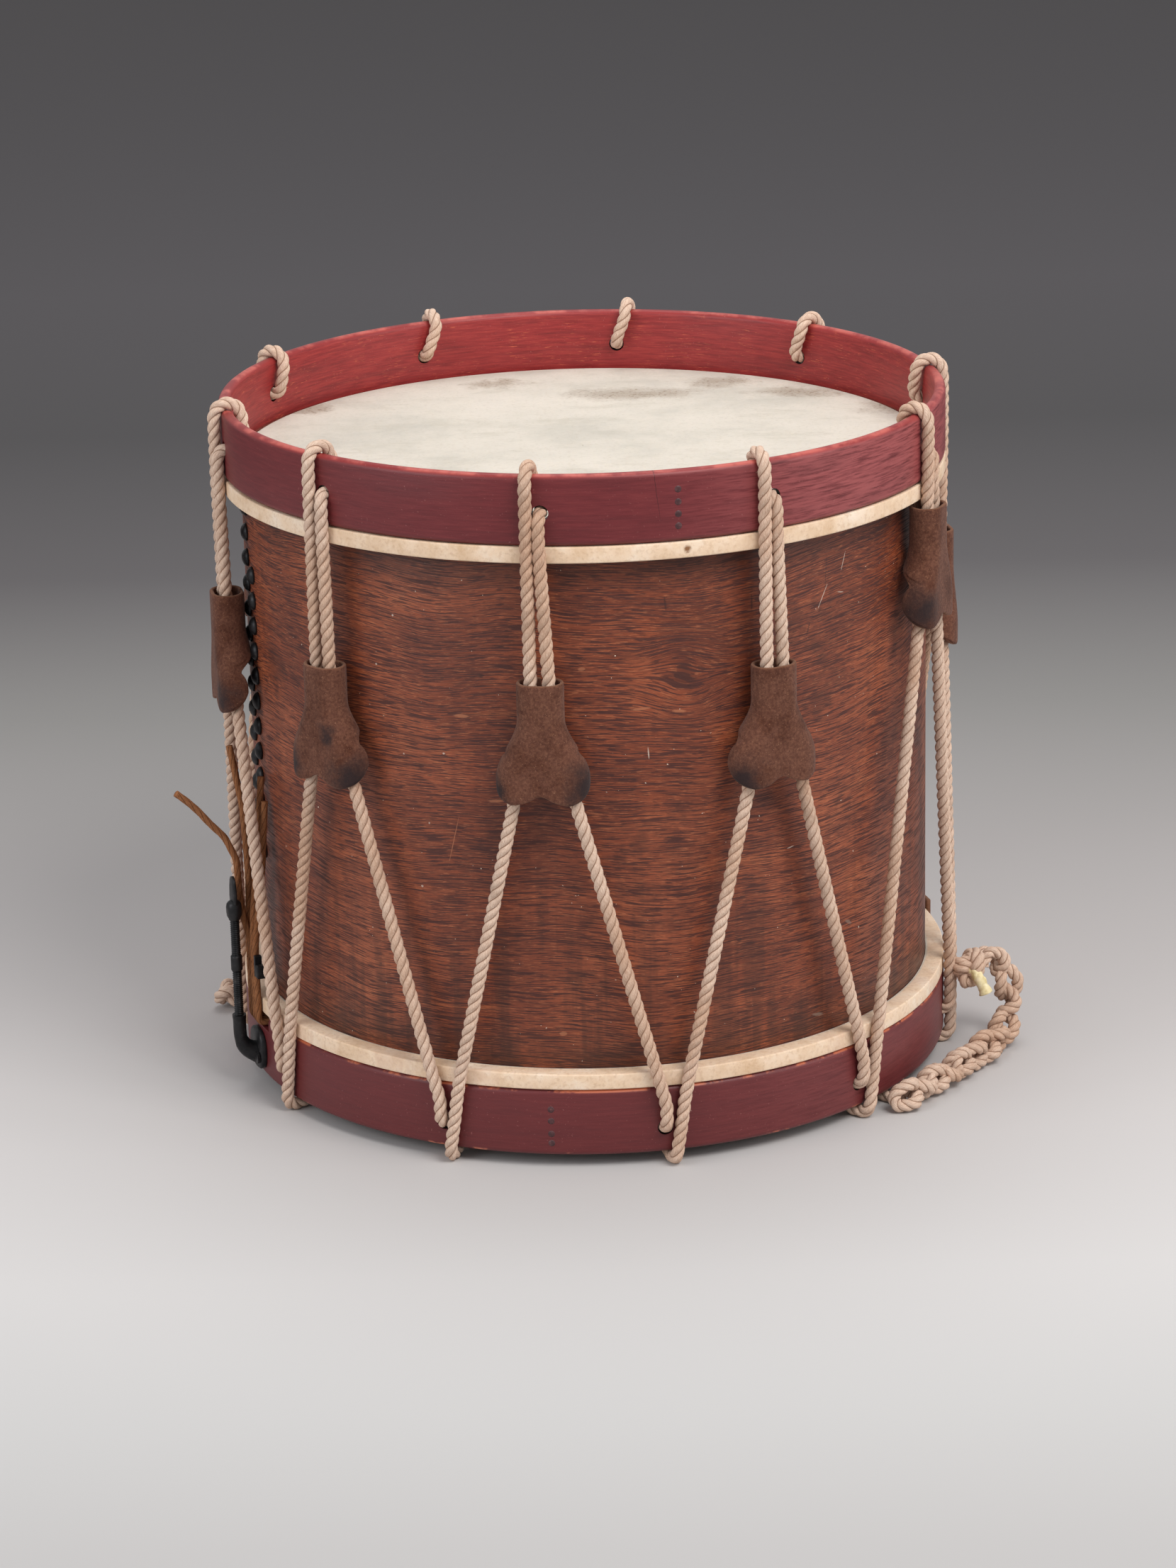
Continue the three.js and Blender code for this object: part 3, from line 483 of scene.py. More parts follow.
# A chain sennit: each link's two legs come up through the link before it.
def buildPlait(material):
    look = plaitLook
    random = np.random.default_rng(look["seed"])
    route = np.array(plaitRoute)
    # past the knot the route is drawn in towards the drum
    pull = look["drawnIn"] * np.minimum(1, np.arange(len(route)) / 4) / np.hypot(route[:, 0], route[:, 1])
    route[:, :2] *= (1 - pull)[:, None]
    line = smoothLine(route, look["spacing"], blur=3.0)
    along, sides, crosses = carriedFrames(line, look["firstSide"])
    total = look["spacing"] * (len(line) - 1)
    pitch, wide, deep = look["pitch"], look["width"], look["depth"]
    links = int((total - look["leastLinks"] * pitch) / pitch) + 1
    pitch = (total - look["linkLong"] * pitch) / (links - 1)
    stretches = []
    for link in range(links):
        start = link * pitch
        swell = 1 + random.uniform(*look["swell"])
        roll = look["roll"] * (-1) ** link + random.normal() * look["rollSpread"]
        leg = [(s * pitch, x * wide, h * deep) for s, x, h in look["leg"]]
        spots = [(start + s, x, h) for s, x, h in leg] + [(start + s, -x, h) for s, x, h in leg[-2::-1]]
        longer, wider, deeper = look["jitter"]
        spots = [(s + random.normal() * longer, x * swell + random.normal() * wider,
                  h + random.normal() * deeper) for s, x, h in spots]
        spots = [(s, x * math.cos(roll) - h * math.sin(roll), x * math.sin(roll) + h * math.cos(roll))
                 for s, x, h in spots]
        stretches.append(ropeStretch(placeAlong(line, along, sides, crosses, spots), step=0.9, lay=look["lay"],
                                     blur=1.6, turn=link * look["startTurn"]))
    piece = ropePiece("plaitedTail", stretches, material, strandProfile(look["strand"]), fuzz=ropeLook["knotFuzz"])
    path = evenLine(line, look["pathGap"])
    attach(piece, "drum")
    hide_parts("tail_plait")
    float(runningLengths(path)[-1] * mm)


def trefoil(centre, reach, deep, spin, axisX, axisY, axisZ, count=90):
    t = np.linspace(0, fullTurn, count)
    x = (np.sin(t) + 2 * np.sin(2 * t)) / 3 * reach
    y = (np.cos(t) - 2 * np.cos(2 * t)) / 3 * reach
    spun = np.stack([x * math.cos(spin) - y * math.sin(spin), x * math.sin(spin) + y * math.cos(spin),
                     -np.sin(3 * t) * deep], axis=1)
    return np.array(centre) + spun @ np.array([axisX, axisY, axisZ], float)


def buildTail(material):
    look = tailLook
    stretch = ropeStretch(tailRopeRoute, step=1.0, lay=ropeLook["lay"], blur=3.0)
    tail = ropePiece("tailRope", [stretch], material, strandProfile(ropeLook["radius"]))
    endX, endY, _ = tailRopeRoute[-1]
    out, side = outAndSide(math.degrees(math.atan2(endY, endX)))
    radial = math.hypot(endX, endY) + look["knotGap"]
    loops = trefoil((radial * out[0], radial * out[1], look["knotHeight"]), look["knotReach"], look["knotDepth"],
                    look["knotTurn"], out, side, (0, 0, 1))
    knot = ropePiece("tailKnot", [ropeStretch(loops, step=1.0, lay=ropeLook["knotLay"], blur=1.5)], material,
                     strandProfile(look["knotStrand"]), fuzz=ropeLook["knotFuzz"])
    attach(knot, "drum")
    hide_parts("tail_knot")
    path = evenLine(stretch[0], look["pathGap"])
    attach(tail, "drum")
    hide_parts("tail_rope")
    float(runningLengths(path)[-1] * mm)


ropeMaterial = makeRopeMaterial()
buildPlait(ropeMaterial)
buildTail(ropeMaterial)
print("cords laid")

tensionPlan = {
    "ropePair": 10.4, "hoopPair": 8.8, "footPair": 9.4, "turn": 5, "throatDepth": 20, "earRadius": 218.2,
    "upperHole": 388.2, "lowerHole": 23, "footTop": 34, "footCentre": 3.2, "firstSpan": 3,
    # how far the rope slips aside at its foot, over the hoop, and inside it
    "footLean": 0.8, "overSlip": 1.4, "insideSlip": 1.6, "crestGap": 0.35, "blendGap": 1,
    # across the foot, from the outer leg under the hoop to the inner leg
    "footSlips": {"leg": 0.5, "outside": (1.1, 0.2), "inside": (-0.4, -2.0), "hole": 1.4},
    # where each bight's two legs lie on the upper hoop, across from its ear's middle
    "hoopPairs": [(-5.5, 1.3), (-5.8, 1.6), (-5.8, 2.0), (-6.0, 2.0), (-5.7, 2.1),
                  (-5.8, 1.8), (-6.2, 2.0), (-5.6, 2.0), (-5.8, 2.0), (-4.8, 4.4)],
}


# A quarter bend of the rope round a height and a reach, as it moves across.
def quarterBend(at, across, height, reach, first, swing, shares=(0, 0.5, 1)):
    turn, points = tensionPlan["turn"], []
    for share in shares:
        way = math.radians(first + swing * share)
        points.append(at(across[0] + share * (across[1] - across[0]), height + turn * math.sin(way),
                         reach + turn * math.cos(way)))
    return points


def spanPoints(k):
    plan = tensionPlan
    radius, outer, inner = drumPlan["ropeRadius"], drumPlan["ropeOut"], drumPlan["ropeIn"]
    hoopBottom, fleshTop = drumPlan["upperHoopBottom"], drumPlan["lowerFleshTop"]

    def at(across, height, reach):
        return around(earAngle(k), across, height, reach)

    earTop = earHeight(k)
    throat = earTop - plan["throatDepth"]
    halfPair, sleeve = plan["ropePair"] / 2, plan["earRadius"]
    left, right = plan["hoopPairs"][k % spans]
    leftFoot = plan["footPair"] / 2 - math.radians((earAngle(k) - footAngle(k - 1)) % 360) * outer
    rightFoot = math.radians(footAngle(k) - earAngle(k)) * outer - plan["footPair"] / 2
    turn, holeHeight, hole = plan["turn"], plan["upperHole"], plan["hoopPair"] / 4
    bend = (outer - inner) / 2
    crest = drumPlan["upperHoopTop"] + plan["crestGap"] + radius - bend
    start = plan["footTop"] + radius
    rise = (fleshTop - start) / (throat - start)
    points = [
        at(leftFoot + plan["footLean"], start, outer),
        at(leftFoot + (-halfPair - leftFoot) * rise, fleshTop, outer),
        at(-halfPair, throat, sleeve), at(-halfPair, earTop, sleeve),
        at(left, hoopBottom, outer), at(left, holeHeight, outer), at(left, crest, outer),
    ]
    for share in (0.2, 0.4, 0.6, 0.8):
        points.append(at(left + share * plan["overSlip"], crest + bend * math.sin(share * math.pi),
                         (outer + inner) / 2 + bend * math.cos(share * math.pi)))
    points.append(at(left + plan["insideSlip"], crest, inner))
    points += quarterBend(at, (hole - radius / 4, hole), holeHeight + turn, inner + turn, 180, 90)
    points += quarterBend(at, (hole, right), holeHeight - turn, outer - turn, 90, -90)
    return points + [
        at(right, hoopBottom, outer), at(halfPair, earTop, sleeve), at(halfPair, throat, sleeve),
        at(rightFoot + (halfPair - rightFoot) * rise, fleshTop, outer), at(rightFoot, start, outer),
    ]


# From the right leg of a span in through its hole, down inside the lower hoop,
# under it and up outside as the left leg of the next span.
def footPoints(k):
    plan = tensionPlan
    outer, inner = drumPlan["ropeOut"], drumPlan["ropeIn"]
    half, turn, top, slips = plan["footPair"] / 2, plan["turn"], plan["footTop"], plan["footSlips"]
    low, hole = plan["footCentre"] + turn, plan["lowerHole"]

    def at(across, height, reach):
        return around(footAngle(k), across, height, reach)

    points = [at(half + slips["leg"], top, outer), at(slips["outside"][0], low, outer)]
    points += quarterBend(at, slips["outside"], low, outer - turn, 0, -90, (0.5, 1))
    points += quarterBend(at, slips["inside"], low, inner + turn, -90, -90)
    points += quarterBend(at, (slips["hole"] - half, -half), hole - turn, inner + turn, 180, -90)
    points += quarterBend(at, (-half, -half), hole + turn, outer - turn, -90, 90)
    points.append(at(-half, top, outer))
    return points[::-1]


def buildTensionRope(material):
    plan, outer = tensionPlan, drumPlan["ropeOut"]
    order = [(plan["firstSpan"] + i) % spans for i in range(spans)]
    points = []
    for k in order:
        points += spanPoints(k) + footPoints(k)
    line = smoothLine(points, ropeLook["step"], blur=1.8, closed=True)
    _, sides, crosses = carriedFrames(line, (1, 0, 0))
    lengths = runningLengths(line)
    turns = fullTurn * lengths / ropeLook["lay"]
    profile = strandProfile(ropeLook["radius"])

    def ringNear(point):
        return int(np.argmin(np.linalg.norm(line - np.array(point), axis=1)))

    def rings(first, last):
        cut = slice(first, last + 1)
        return line[cut], sides[cut], crosses[cut], turns[cut], lengths[cut], None

    def laced(name, *stretches):
        return ropePiece(name, stretches, material, profile, caps=False, fuzz=ropeLook["fuzz"])

    print("tension rope is", round(lengths[-1]), "mm long")
    halfPair, begin = plan["ropePair"] / 2, 0
    for i, k in enumerate(order):
        throat = earHeight(k) - plan["throatDepth"]
        left = ringNear(around(earAngle(k), -halfPair, throat, plan["earRadius"]))
        right = ringNear(around(earAngle(k), halfPair, throat, plan["earRadius"]))
        end = len(line) - 1
        if i < spans - 1:
            end = ringNear(around(footAngle(k), plan["footPair"] / 2, plan["footTop"], outer))
        bight = laced(f"ropeBight{k + 1}", rings(left, right))
        legs = laced(f"ropeLegs{k + 1}", rings(begin, left), rings(right, end))
        begin = end
        x, y, _ = around(earAngle(k), 0, 0, outer)
        ear = f"ear_{k + 1}"
        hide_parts(f"tension_rope_{k + 1}")
        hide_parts(f"tension_rope_{k + 1}", f"rope_foot_{k + 1}")
        x * mm
        y * mm
        x * mm
        y * mm
        (throat + plan["blendGap"]) * mm
        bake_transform(bight)
        x * mm
        y * mm
        (throat - plan["blendGap"]) * mm
        x * mm
        y * mm
        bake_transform(legs)


buildTensionRope(ropeMaterial)
print("tension rope laced")

earPlan = {
    "thickness": 2.3, "front": 6.4, "halfFlat": 3.7, "tube": 8.5, "flareFrom": 21, "flareTo": 57,
    "lobeReach": 13.6, "lobeRadius": 12.4, "lobeAcross": 16.8, "lobeDown": 55.6, "lobeWide": 18.8, "lobeTall": 14.2,
    "seamDown": 40, "seamSoft": 3, "seamGap": 0.3, "notchAcross": 26, "notchDown": 64.6, "notchSlope": 0.25,
    "curl": (-0.07, 0.05), "seed": 3, "columns": 36, "rows": 42,
}
# Dark patches on the leather: ear, across and down from its top, and reach.
darkPatches = [
    (0, 25, 61, 19), (0, -25, 64, 12), (9, 22, 62, 19), (9, -22, 62, 16), (8, 20, 60, 18), (2, -20, 60, 22),
    (1, -20, 66, 17), (1, 5, 22, 3.5), (3, 0, 62, 14), (9, 6, 40, 10),
]


def makeSuedeMaterial():
    material, place = newMaterial("earSuede")
    edge = uvPlace(material).parts()[0]
    nap, speck, cloud = place.noise(620, 4, 0.7), place.noise(1300, 2, 0.5), place.noise(60, 4, 0.6)
    colour = nap.ramp((0.34, 87, 54, 43), (0.52, 105, 68, 54), (0.7, 124, 84, 66))
    colour = colour.tints((cloud.band(0.42, 0.74), (206, 192, 184)), kind="MULTIPLY")
    colour = colour.tints((speck.band(0.65, 0.72) * 0.6, (158, 116, 92)))
    for k, across, down, reach in darkPatches:
        away = place.awayFrom(around(earAngle(k), across, earHeight(k) - down, 222))
        near = (away + (cloud - 0.5) * 0.03).fade(reach * 0.1 * mm, reach * mm)
        colour = colour.tints((near * 0.88, (38, 33, 36)))
    colour = colour.tints((edge.fade(0.0001, 0.0008) * 0.5, (134, 96, 72)))
    return finishMaterial(material, colour, {"Roughness": 0.95, "Specular IOR Level": 0.12, "Sheen Weight": 0.08},
                          (nap, 0.4, 0.0008))


def eased(share):
    share = min(1, max(0, share))
    return share * share * (3 - 2 * share)


def earWrap():
    return earPlan["halfFlat"] * 2 + math.pi * earPlan["tube"] - earPlan["seamGap"]


def earEdge(down):
    plan, wrap = earPlan, earWrap()
    if down <= plan["seamDown"]:
        return wrap
    rise = (down - plan["lobeDown"]) / plan["lobeTall"]
    lobe = plan["lobeAcross"] + plan["lobeWide"] * math.sqrt(max(0, 1 - rise * rise))
    if down >= plan["lobeDown"]:
        return lobe
    return max(lobe, wrap + (plan["notchAcross"] - wrap) * eased((down - plan["seamDown"]) / plan["seamSoft"]))


def earHem(across):
    plan = earPlan
    aside = (across - plan["lobeAcross"]) / plan["lobeWide"]
    lobe = plan["lobeDown"] + plan["lobeTall"] * math.sqrt(max(0, 1 - aside * aside))
    return max(lobe, plan["notchDown"] + plan["notchSlope"] * across) if across < plan["lobeAcross"] else lobe


# The folded sheet of one ear, hanging from its top. Each lobe curls by its own amount.
def earSheet(curls):
    plan, wrap = earPlan, earWrap()
    columns, rows = plan["columns"], plan["rows"]
    points, uvs = [], []
    for j in range(-columns, columns + 1):
        curl = curls[0] if j < 0 else curls[1]
        for i in range(rows + 1):
            across = abs(j) / columns * wrap
            # the edge and the hem depend on each other, so they settle in a few rounds
            for _ in range(6):
                down = earHem(across) * i / rows
                across = abs(j) / columns * earEdge(down)
            part = eased((down - plan["flareFrom"]) / (plan["flareTo"] - plan["flareFrom"]))
            reach = plan["halfFlat"] + (plan["lobeReach"] - plan["halfFlat"]) * part
            radius = plan["tube"] + (plan["lobeRadius"] * curl - plan["tube"]) * part
            centre = plan["front"] - radius
            if across <= reach:
                x, depth = across, plan["front"]
            elif across <= reach + math.pi * radius:
                turn = (across - reach) / radius
                x, depth = reach + radius * math.sin(turn), centre + radius * math.cos(turn)
            else:
                x, depth = 2 * reach + math.pi * radius - across, centre - radius
            points.append((drumPlan["ropeOut"] + depth, math.copysign(x, j) if j else 0, -down))
            uvs.append((min(down, earEdge(down) - across, earHem(across) - down) * mm, down * mm))
    return np.array(points), np.array(uvs), sheetFaces(columns * 2 + 1, rows + 1)


def thicken(piece, thickness):
    solid = piece.modifiers.new("thickness", "SOLIDIFY")
    solid.thickness, solid.offset = thickness * mm, 0


def buildEars(material):
    random = np.random.default_rng(earPlan["seed"])
    for k in range(spans):
        sheet, places, faces = earSheet(1 + random.uniform(*earPlan["curl"], 2))
        points = inFrame(earAngle(k), sheet)
        points[:, 2] += earHeight(k)
        ear = meshPiece(f"leatherEar{k + 1}", points, faces, material, places[faces.ravel()])
        thicken(ear, earPlan["thickness"])
        soft = ear.modifiers.new("soft", "SUBSURF")
        soft.levels = soft.render_levels = 1
        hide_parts(f"leather_ear_{k + 1}")
        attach(ear, f"ear_{k + 1}")


suedeMaterial = makeSuedeMaterial()
buildEars(suedeMaterial)
print("ears on")


# An outline of radii and heights turned about the drum's axis.
def turned(name, outline, material, segments=256):
    outline = np.array(outline, float)
    count, angles = len(outline), ringTurns(segments)
    radii, heights = outline[:, 0], outline[:, 1]
    points = np.stack([np.cos(angles)[:, None] * radii, np.sin(angles)[:, None] * radii,
                       np.broadcast_to(heights, (segments, count))], axis=-1)
    a, i = np.arange(segments)[:, None], np.arange(count)[None, :]
    b, n = (a + 1) % segments, (i + 1) % count
    faces = np.stack(np.broadcast_arrays(a * count + i, b * count + i, b * count + n, a * count + n), axis=-1)
    return meshPiece(name, points.reshape(-1, 3), faces.reshape(-1, 4), material)


def arc(across, height, radius, first, swing, steps=4):
    turns = [math.radians(first + swing * i / steps) for i in range(steps + 1)]
    return [(across + radius * math.cos(turn), height + radius * math.sin(turn)) for turn in turns]


def rounded(low, high, inner, outer, soft):
    corners = ((outer, low, -1, 1), (outer, high, -1, -1), (inner, high, 1, -1), (inner, low, 1, 1))
    outline = []
    for quarter, (across, height, inward, upward) in enumerate(corners):
        outline += arc(across + inward * soft, height + upward * soft, soft, 90 * quarter - 90, 90)
    return outline


def keepSharp(piece, degrees):
    piece.data.set_sharp_from_angle(angle=math.radians(degrees))


def cutWith(piece, cutters):
    for cutter in cutters:
        tool = piece.modifiers.new("cut", "BOOLEAN")
        tool.operation, tool.solver, tool.object = "DIFFERENCE", "EXACT", cutter
    bpy.context.view_layer.update()
    evaluated = piece.evaluated_get(bpy.context.evaluated_depsgraph_get())
    mesh = bpy.data.meshes.new_from_object(evaluated)
    piece.modifiers.clear()
    old = piece.data
    piece.data = mesh
    bpy.data.meshes.remove(old)
    for cutter in cutters:
        bpy.data.objects.remove(cutter)
    keepSharp(piece, degrees=35)


def cutterRods(name, spots, radius, length, sides=24):
    points, faces = [], []
    for angle, height, middle in spots:
        faces += tubeFaces(2, sides, 2 * sides * len(points))
        ring = [(middle + end * length, radius * math.cos(turn), height + radius * math.sin(turn))
                for end in (-0.5, 0.5) for turn in ringTurns(sides)]
        points.append(inFrame(angle, ring))
    return meshPiece(name, np.concatenate(points), faces, smooth=False)


def cutterBlocks(name, boxes):
    points, faces = [], []
    for angle, (x0, x1), (y0, y1), (z0, z1) in boxes:
        for face in ((0, 1, 3, 2), (4, 6, 7, 5), (0, 4, 5, 1), (2, 3, 7, 6), (0, 2, 6, 4), (1, 5, 7, 3)):
            faces.append([8 * len(points) + i for i in face])
        points.append(inFrame(angle, [(x, y, z) for x in (x0, x1) for y in (y0, y1) for z in (z0, z1)]))
    return meshPiece(name, np.concatenate(points), faces, smooth=False)


def turnAbout(x, y):
    return x.maths("ARCTAN2", y, x)


def outFrom(x, y):
    return (x * x + y * y).of("SQRT")


def makeHoopMaterial():
    material, place = newMaterial("hoopPaint")
    x, y, z = place.parts()
    angle, out = turnAbout(x, y), outFrom(x, y)
    # brush streaks run round the hoop, so they are fine in height and long in angle
    brushed = wrapped(angle, z, 0.21, 14)
    streak, thin, broad = brushed.noise(60, 5, 0.65), brushed.noise(130, 3, 0.6), brushed.noise(14, 3, 0.6)
    speck, wearAndHighlight = place.noise(900, 2, 0.5), place.noise(45, 4, 0.65)
    outside = streak.ramp((0.3, 98, 32, 36), (0.5, 109, 38, 42), (0.72, 120, 46, 48))
    # painted sheen on the right side of the hoop, mixed with lighter worn paint in streaks there; the lower hoop's
    # outer face is darker
    rightSheenAndWornPaint = x.band(0.03, 0.16) * streak.band(0.3, 0.6) * (z.band(0.2, 0.38) * 0.6 + 0.4)
    outside = outside.tints((rightSheenAndWornPaint * 0.72, (172, 90, 90)), (z.fade(0.06, 0.1) * 0.5, (92, 36, 36)))
    inside = streak.ramp((0.3, 124, 34, 35), (0.5, 146, 44, 45), (0.72, 166, 58, 53))
    inside = inside.tints((thin.band(0.6, 0.68) * wearAndHighlight.band(0.45, 0.6) * 0.8, (212, 108, 76)))
    # the scarf joint shows as a broken line down from the top edge
    slant = angle + (z - 0.39) * 0.6 + (wearAndHighlight - 0.5) * 0.012
    seam = (slant - math.radians(-79.05)).of("ABSOLUTE").fade(0.0004, 0.0012)
    # the insides of the rope holes are painted dark as painted shade
    wall = out.between(0.2078, 0.2082, 0.2138, 0.2143)
    holes = z.between(0.0172, 0.0176, 0.0286, 0.029) + z.between(0.382, 0.3824, 0.3942, 0.3946)
    colour = outside.tints(
        (out.fade(0.2080, 0.2105), inside),
        (broad.band(0.45, 0.7) * 0.3, (84, 32, 36)),
        # the upper hoop's top edge is painted a brighter red as painted light from above, and its pink spots are
        # partly worn paint and partly painted highlight
        (z.band(0.4068, 0.4088) * 0.6, (150, 44, 42)),
        (z.band(0.4079, 0.4093) * wearAndHighlight.band(0.4, 0.62) * 0.7, (204, 104, 92)),
        (z.between(0.0458, 0.0468, 0.048, 0.05) * wearAndHighlight.band(0.46, 0.56), (190, 104, 72)),
        (z.fade(0.0084, 0.0102) * wearAndHighlight.band(0.56, 0.62), (204, 120, 92)),
        (seam * z.band(0.378, 0.392) * 0.75, (62, 22, 25)),
        (speck.band(0.69, 0.74) * 0.4, (170, 110, 104)),
        (wall * holes, (30, 17, 16)))
    return finishMaterial(material, colour, {"Roughness": 0.44, "Specular IOR Level": 0.42},
                          (streak + thin, 0.14, 0.0005))


# Marks on the shell: angle, height, half width, half height, lean and tone.
shellMarks = [
    (-77.6, 331.1, 0.7, 4.5, 6, "dent"), (-63.0, 325.8, 0.7, 5.5, 0, "dent"), (-52.1, 303.7, 0.8, 4, -20, "dent"),
    (-48.2, 334, 0.4, 10, -3, "dent"), (-107.2, 290.7, 2.4, 1.4, 0, "dent"), (-65.9, 126.8, 1.6, 1.2, 20, "dent"),
    (-55.1, 70.9, 5.5, 1.8, -8, "dent"), (-50.5, 69, 5, 1.2, -14, "dull"), (-43.2, 119.5, 3.6, 1.2, -30, "dull"),
    (-49, 320.2, 0.3, 9, -30, "pale"), (-44.9, 320.1, 3, 0.3, -12, "pale"), (-80.7, 245.2, 0.4, 4, 4, "pale"),
    (-44.1, 338.1, 0.3, 6, -20, "pale"), (-112.6, 191.8, 0.3, 16, -14, "bare"), (-56.1, 176.4, 2.6, 0.4, 8, "pale"),
    (-122.4, 320.4, 0.7, 0.7, 0, "pale"), (-126, 289.8, 0.8, 0.7, 0, "pale"), (-121.2, 239.5, 0.6, 0.6, 0, "pale"),
    (-113.9, 242.8, 0.8, 0.7, 0, "pale"), (-116.9, 200.2, 0.6, 0.6, 0, "pale"), (-118.6, 161.3, 0.8, 0.8, 0, "pale"),
    (-105.2, 217.4, 5, 1.2, 4, "bare"), (-81.7, 271.3, 6, 0.9, 4, "bare"), (-75.6, 268.2, 4.5, 0.9, -6, "bare"),
    (-110.7, 266.1, 5, 1.2, 0, "bare"), (-95.3, 78.5, 2.4, 1.4, 0, "bare"), (-91, 295.8, 2.2, 1.2, 10, "bare"),
]
markTones = {"dent": (48, 24, 22), "pale": (214, 196, 180), "bare": (176, 112, 78), "dull": (140, 116, 102)}


def makeOakMaterial():
    material, place = newMaterial("bentOak")
    x, y, z = place.parts()
    angle, radius = turnAbout(x, y), drumPlan["shellRadius"] * mm
    # the grain runs round the shell, drifts a little in height and parts round a knot
    drift = wrapped(angle, z, 0.2, 0.5).noise(7, 2, 0.5)
    knot = around(-74.7, 0, 288.6, drumPlan["shellRadius"])
    away = place.awayFrom(knot)
    level = z + drift * 0.03 + (z - knot[2] * mm) * (away.fade(0.0, 0.034) * -0.72)

    def grain(long, upright, detail, rough):
        return wrapped(angle, level, radius * long, upright).noise(1.0, detail, rough)

    bands, lines, dashes = grain(9, 120, 5, 0.6), grain(30, 1900, 2, 0.6), grain(58, 1450, 1, 0.4)
    short, flecks = grain(150, 2500, 1, 0.4), grain(170, 1700, 3, 0.6)
    smearAndShade, speck = place.noise(16, 5, 0.65), place.noise(520, 1, 0.4)
    runs = combine(x * 90, y * 90, z * 6).noise(1.0, 3, 0.6)
    colour = place.noise(11, 4, 0.6).ramp((0.32, 106, 50, 31), (0.5, 136, 67, 41), (0.7, 164, 88, 56))
    colour = colour.tints(
        (bands.band(0.44, 0.62) * 0.42, (88, 42, 29)),
        (bands.band(0.42, 0.3) * 0.3, (178, 104, 66)),
        (flecks.band(0.55, 0.64) * 0.42, (188, 116, 78)),
        (lines.band(0.52, 0.58) * 0.45, (76, 36, 28)),
        (dashes.band(0.55, 0.58) * 0.8, (60, 29, 27)),
        (short.band(0.59, 0.62) * 0.7, (58, 28, 25)),
        (away.fade(0.002, 0.011) * 0.6, (66, 32, 24)),
        # painted shadow on the shell under the upper hoop, broken up by the smear noise; the next layer darkens the
        # shell towards the bottom
        (z.band(0.336, 0.358) * smearAndShade.band(0.3, 0.6) * 0.75, (46, 26, 21)),
        (z.fade(0.062, 0.09) * smearAndShade.band(0.35, 0.6) * 0.6, (52, 30, 24)),
        (smearAndShade.band(0.6, 0.68) * 0.4, (60, 30, 23)),
        (z.fade(0.07, 0.24) * runs.band(0.48, 0.64) * 0.45, (62, 34, 26)),
        (speck.band(0.8, 0.82) * 0.8, (222, 204, 184)))
    for turn, height, wide, tall, lean, tone in shellMarks:
        aside, rise = (angle - math.radians(turn)) * radius, z - height * mm
        c, s = math.cos(math.radians(lean)), math.sin(math.radians(lean))
        over = aside * (c / wide / mm) + rise * (s / wide / mm)
        up = aside * (-s / tall / mm) + rise * (c / tall / mm)
        mark = (over * over + up * up + (flecks - 0.5) * 2.4).fade(0.35, 1.1)
        colour = colour.tints((mark * 0.6, markTones[tone]))
    return finishMaterial(material, colour, {"Roughness": dashes.ramp((0.4, 0.4), (0.66, 0.6)),
                                             "Specular IOR Level": 0.42}, (0.0 - (lines + dashes), 0.25, 0.0005))


# Stains on the batter head: across, back, reach and how much longer it is across than back.
skinStains = [(31, 130, 22, 2.4), (91, 158, 18, 2.0), (138, 125, 18, 2.2), (186, 80, 22, 1.0),
              (-168, 108, 16, 1.0), (-60, 165, 15, 2.0)]


def makeSkinMaterial():
    material, place = newMaterial("drumSkin")
    x, y, z = place.parts()
    cloud, soft = place.noise(14, 5, 0.65), place.noise(34, 5, 0.7)
    fine, pores = place.noise(420, 3, 0.6), place.noise(900, 2, 0.6)
    streaks = place.stretch(22, 60, 22).noise(1.0, 6, 0.75)
    wrinkle = wrapped(turnAbout(x, y), z, 0.2146, 0.1).noise(420, 3, 0.6)
    face = cloud.ramp((0.32, 196, 190, 178), (0.5, 212, 204, 191), (0.72, 221, 212, 199)).tints(
        (streaks.band(0.5, 0.68) * 0.4, (186, 178, 162)),
        (fine.band(0.5, 0.7) * 0.25, (180, 168, 150)),
        (pores.band(0.66, 0.72) * soft.band(0.5, 0.66) * 0.5, (150, 126, 100)))
    for across, back, reach, wide in skinStains:
        away = outFrom((x - across * mm) / wide, y - back * mm)
        near = (away + (soft - 0.5) * 0.045).fade(reach * 0.1 * mm, reach * mm)
        face = face.tints((near * 0.6, (152, 136, 118)), (near * fine.band(0.54, 0.64) * 0.5, (116, 88, 68)))
    # the lap over the flesh hoop is warmer, with one spot, and scraped pale on the lower one
    spot = place.awayFrom(around(-74.8, 0, 364.8, drumPlan["hoopRadius"])) + (fine - 0.5) * 0.004
    lap = soft.ramp((0.3, 216, 182, 147), (0.5, 236, 209, 181), (0.7, 244, 226, 206)).tints(
        (fine.band(0.5, 0.66) * 0.32, (196, 160, 126)),
        (spot.fade(0.0006, 0.003), (140, 98, 66)),
        (z.fade(0.062, 0.07) * streaks.band(0.5, 0.62) * 0.4, (214, 180, 156)))
    return finishMaterial(material, face.tints((outFrom(x, y).band(0.2035, 0.2055), lap)), {
        "Roughness": 0.62, "Specular IOR Level": 0.3, "Subsurface Weight": 0.06,
        "Subsurface Radius": (0.006, 0.004, 0.002)}, (wrinkle * 0.8 + fine, 0.2, 0.0007))


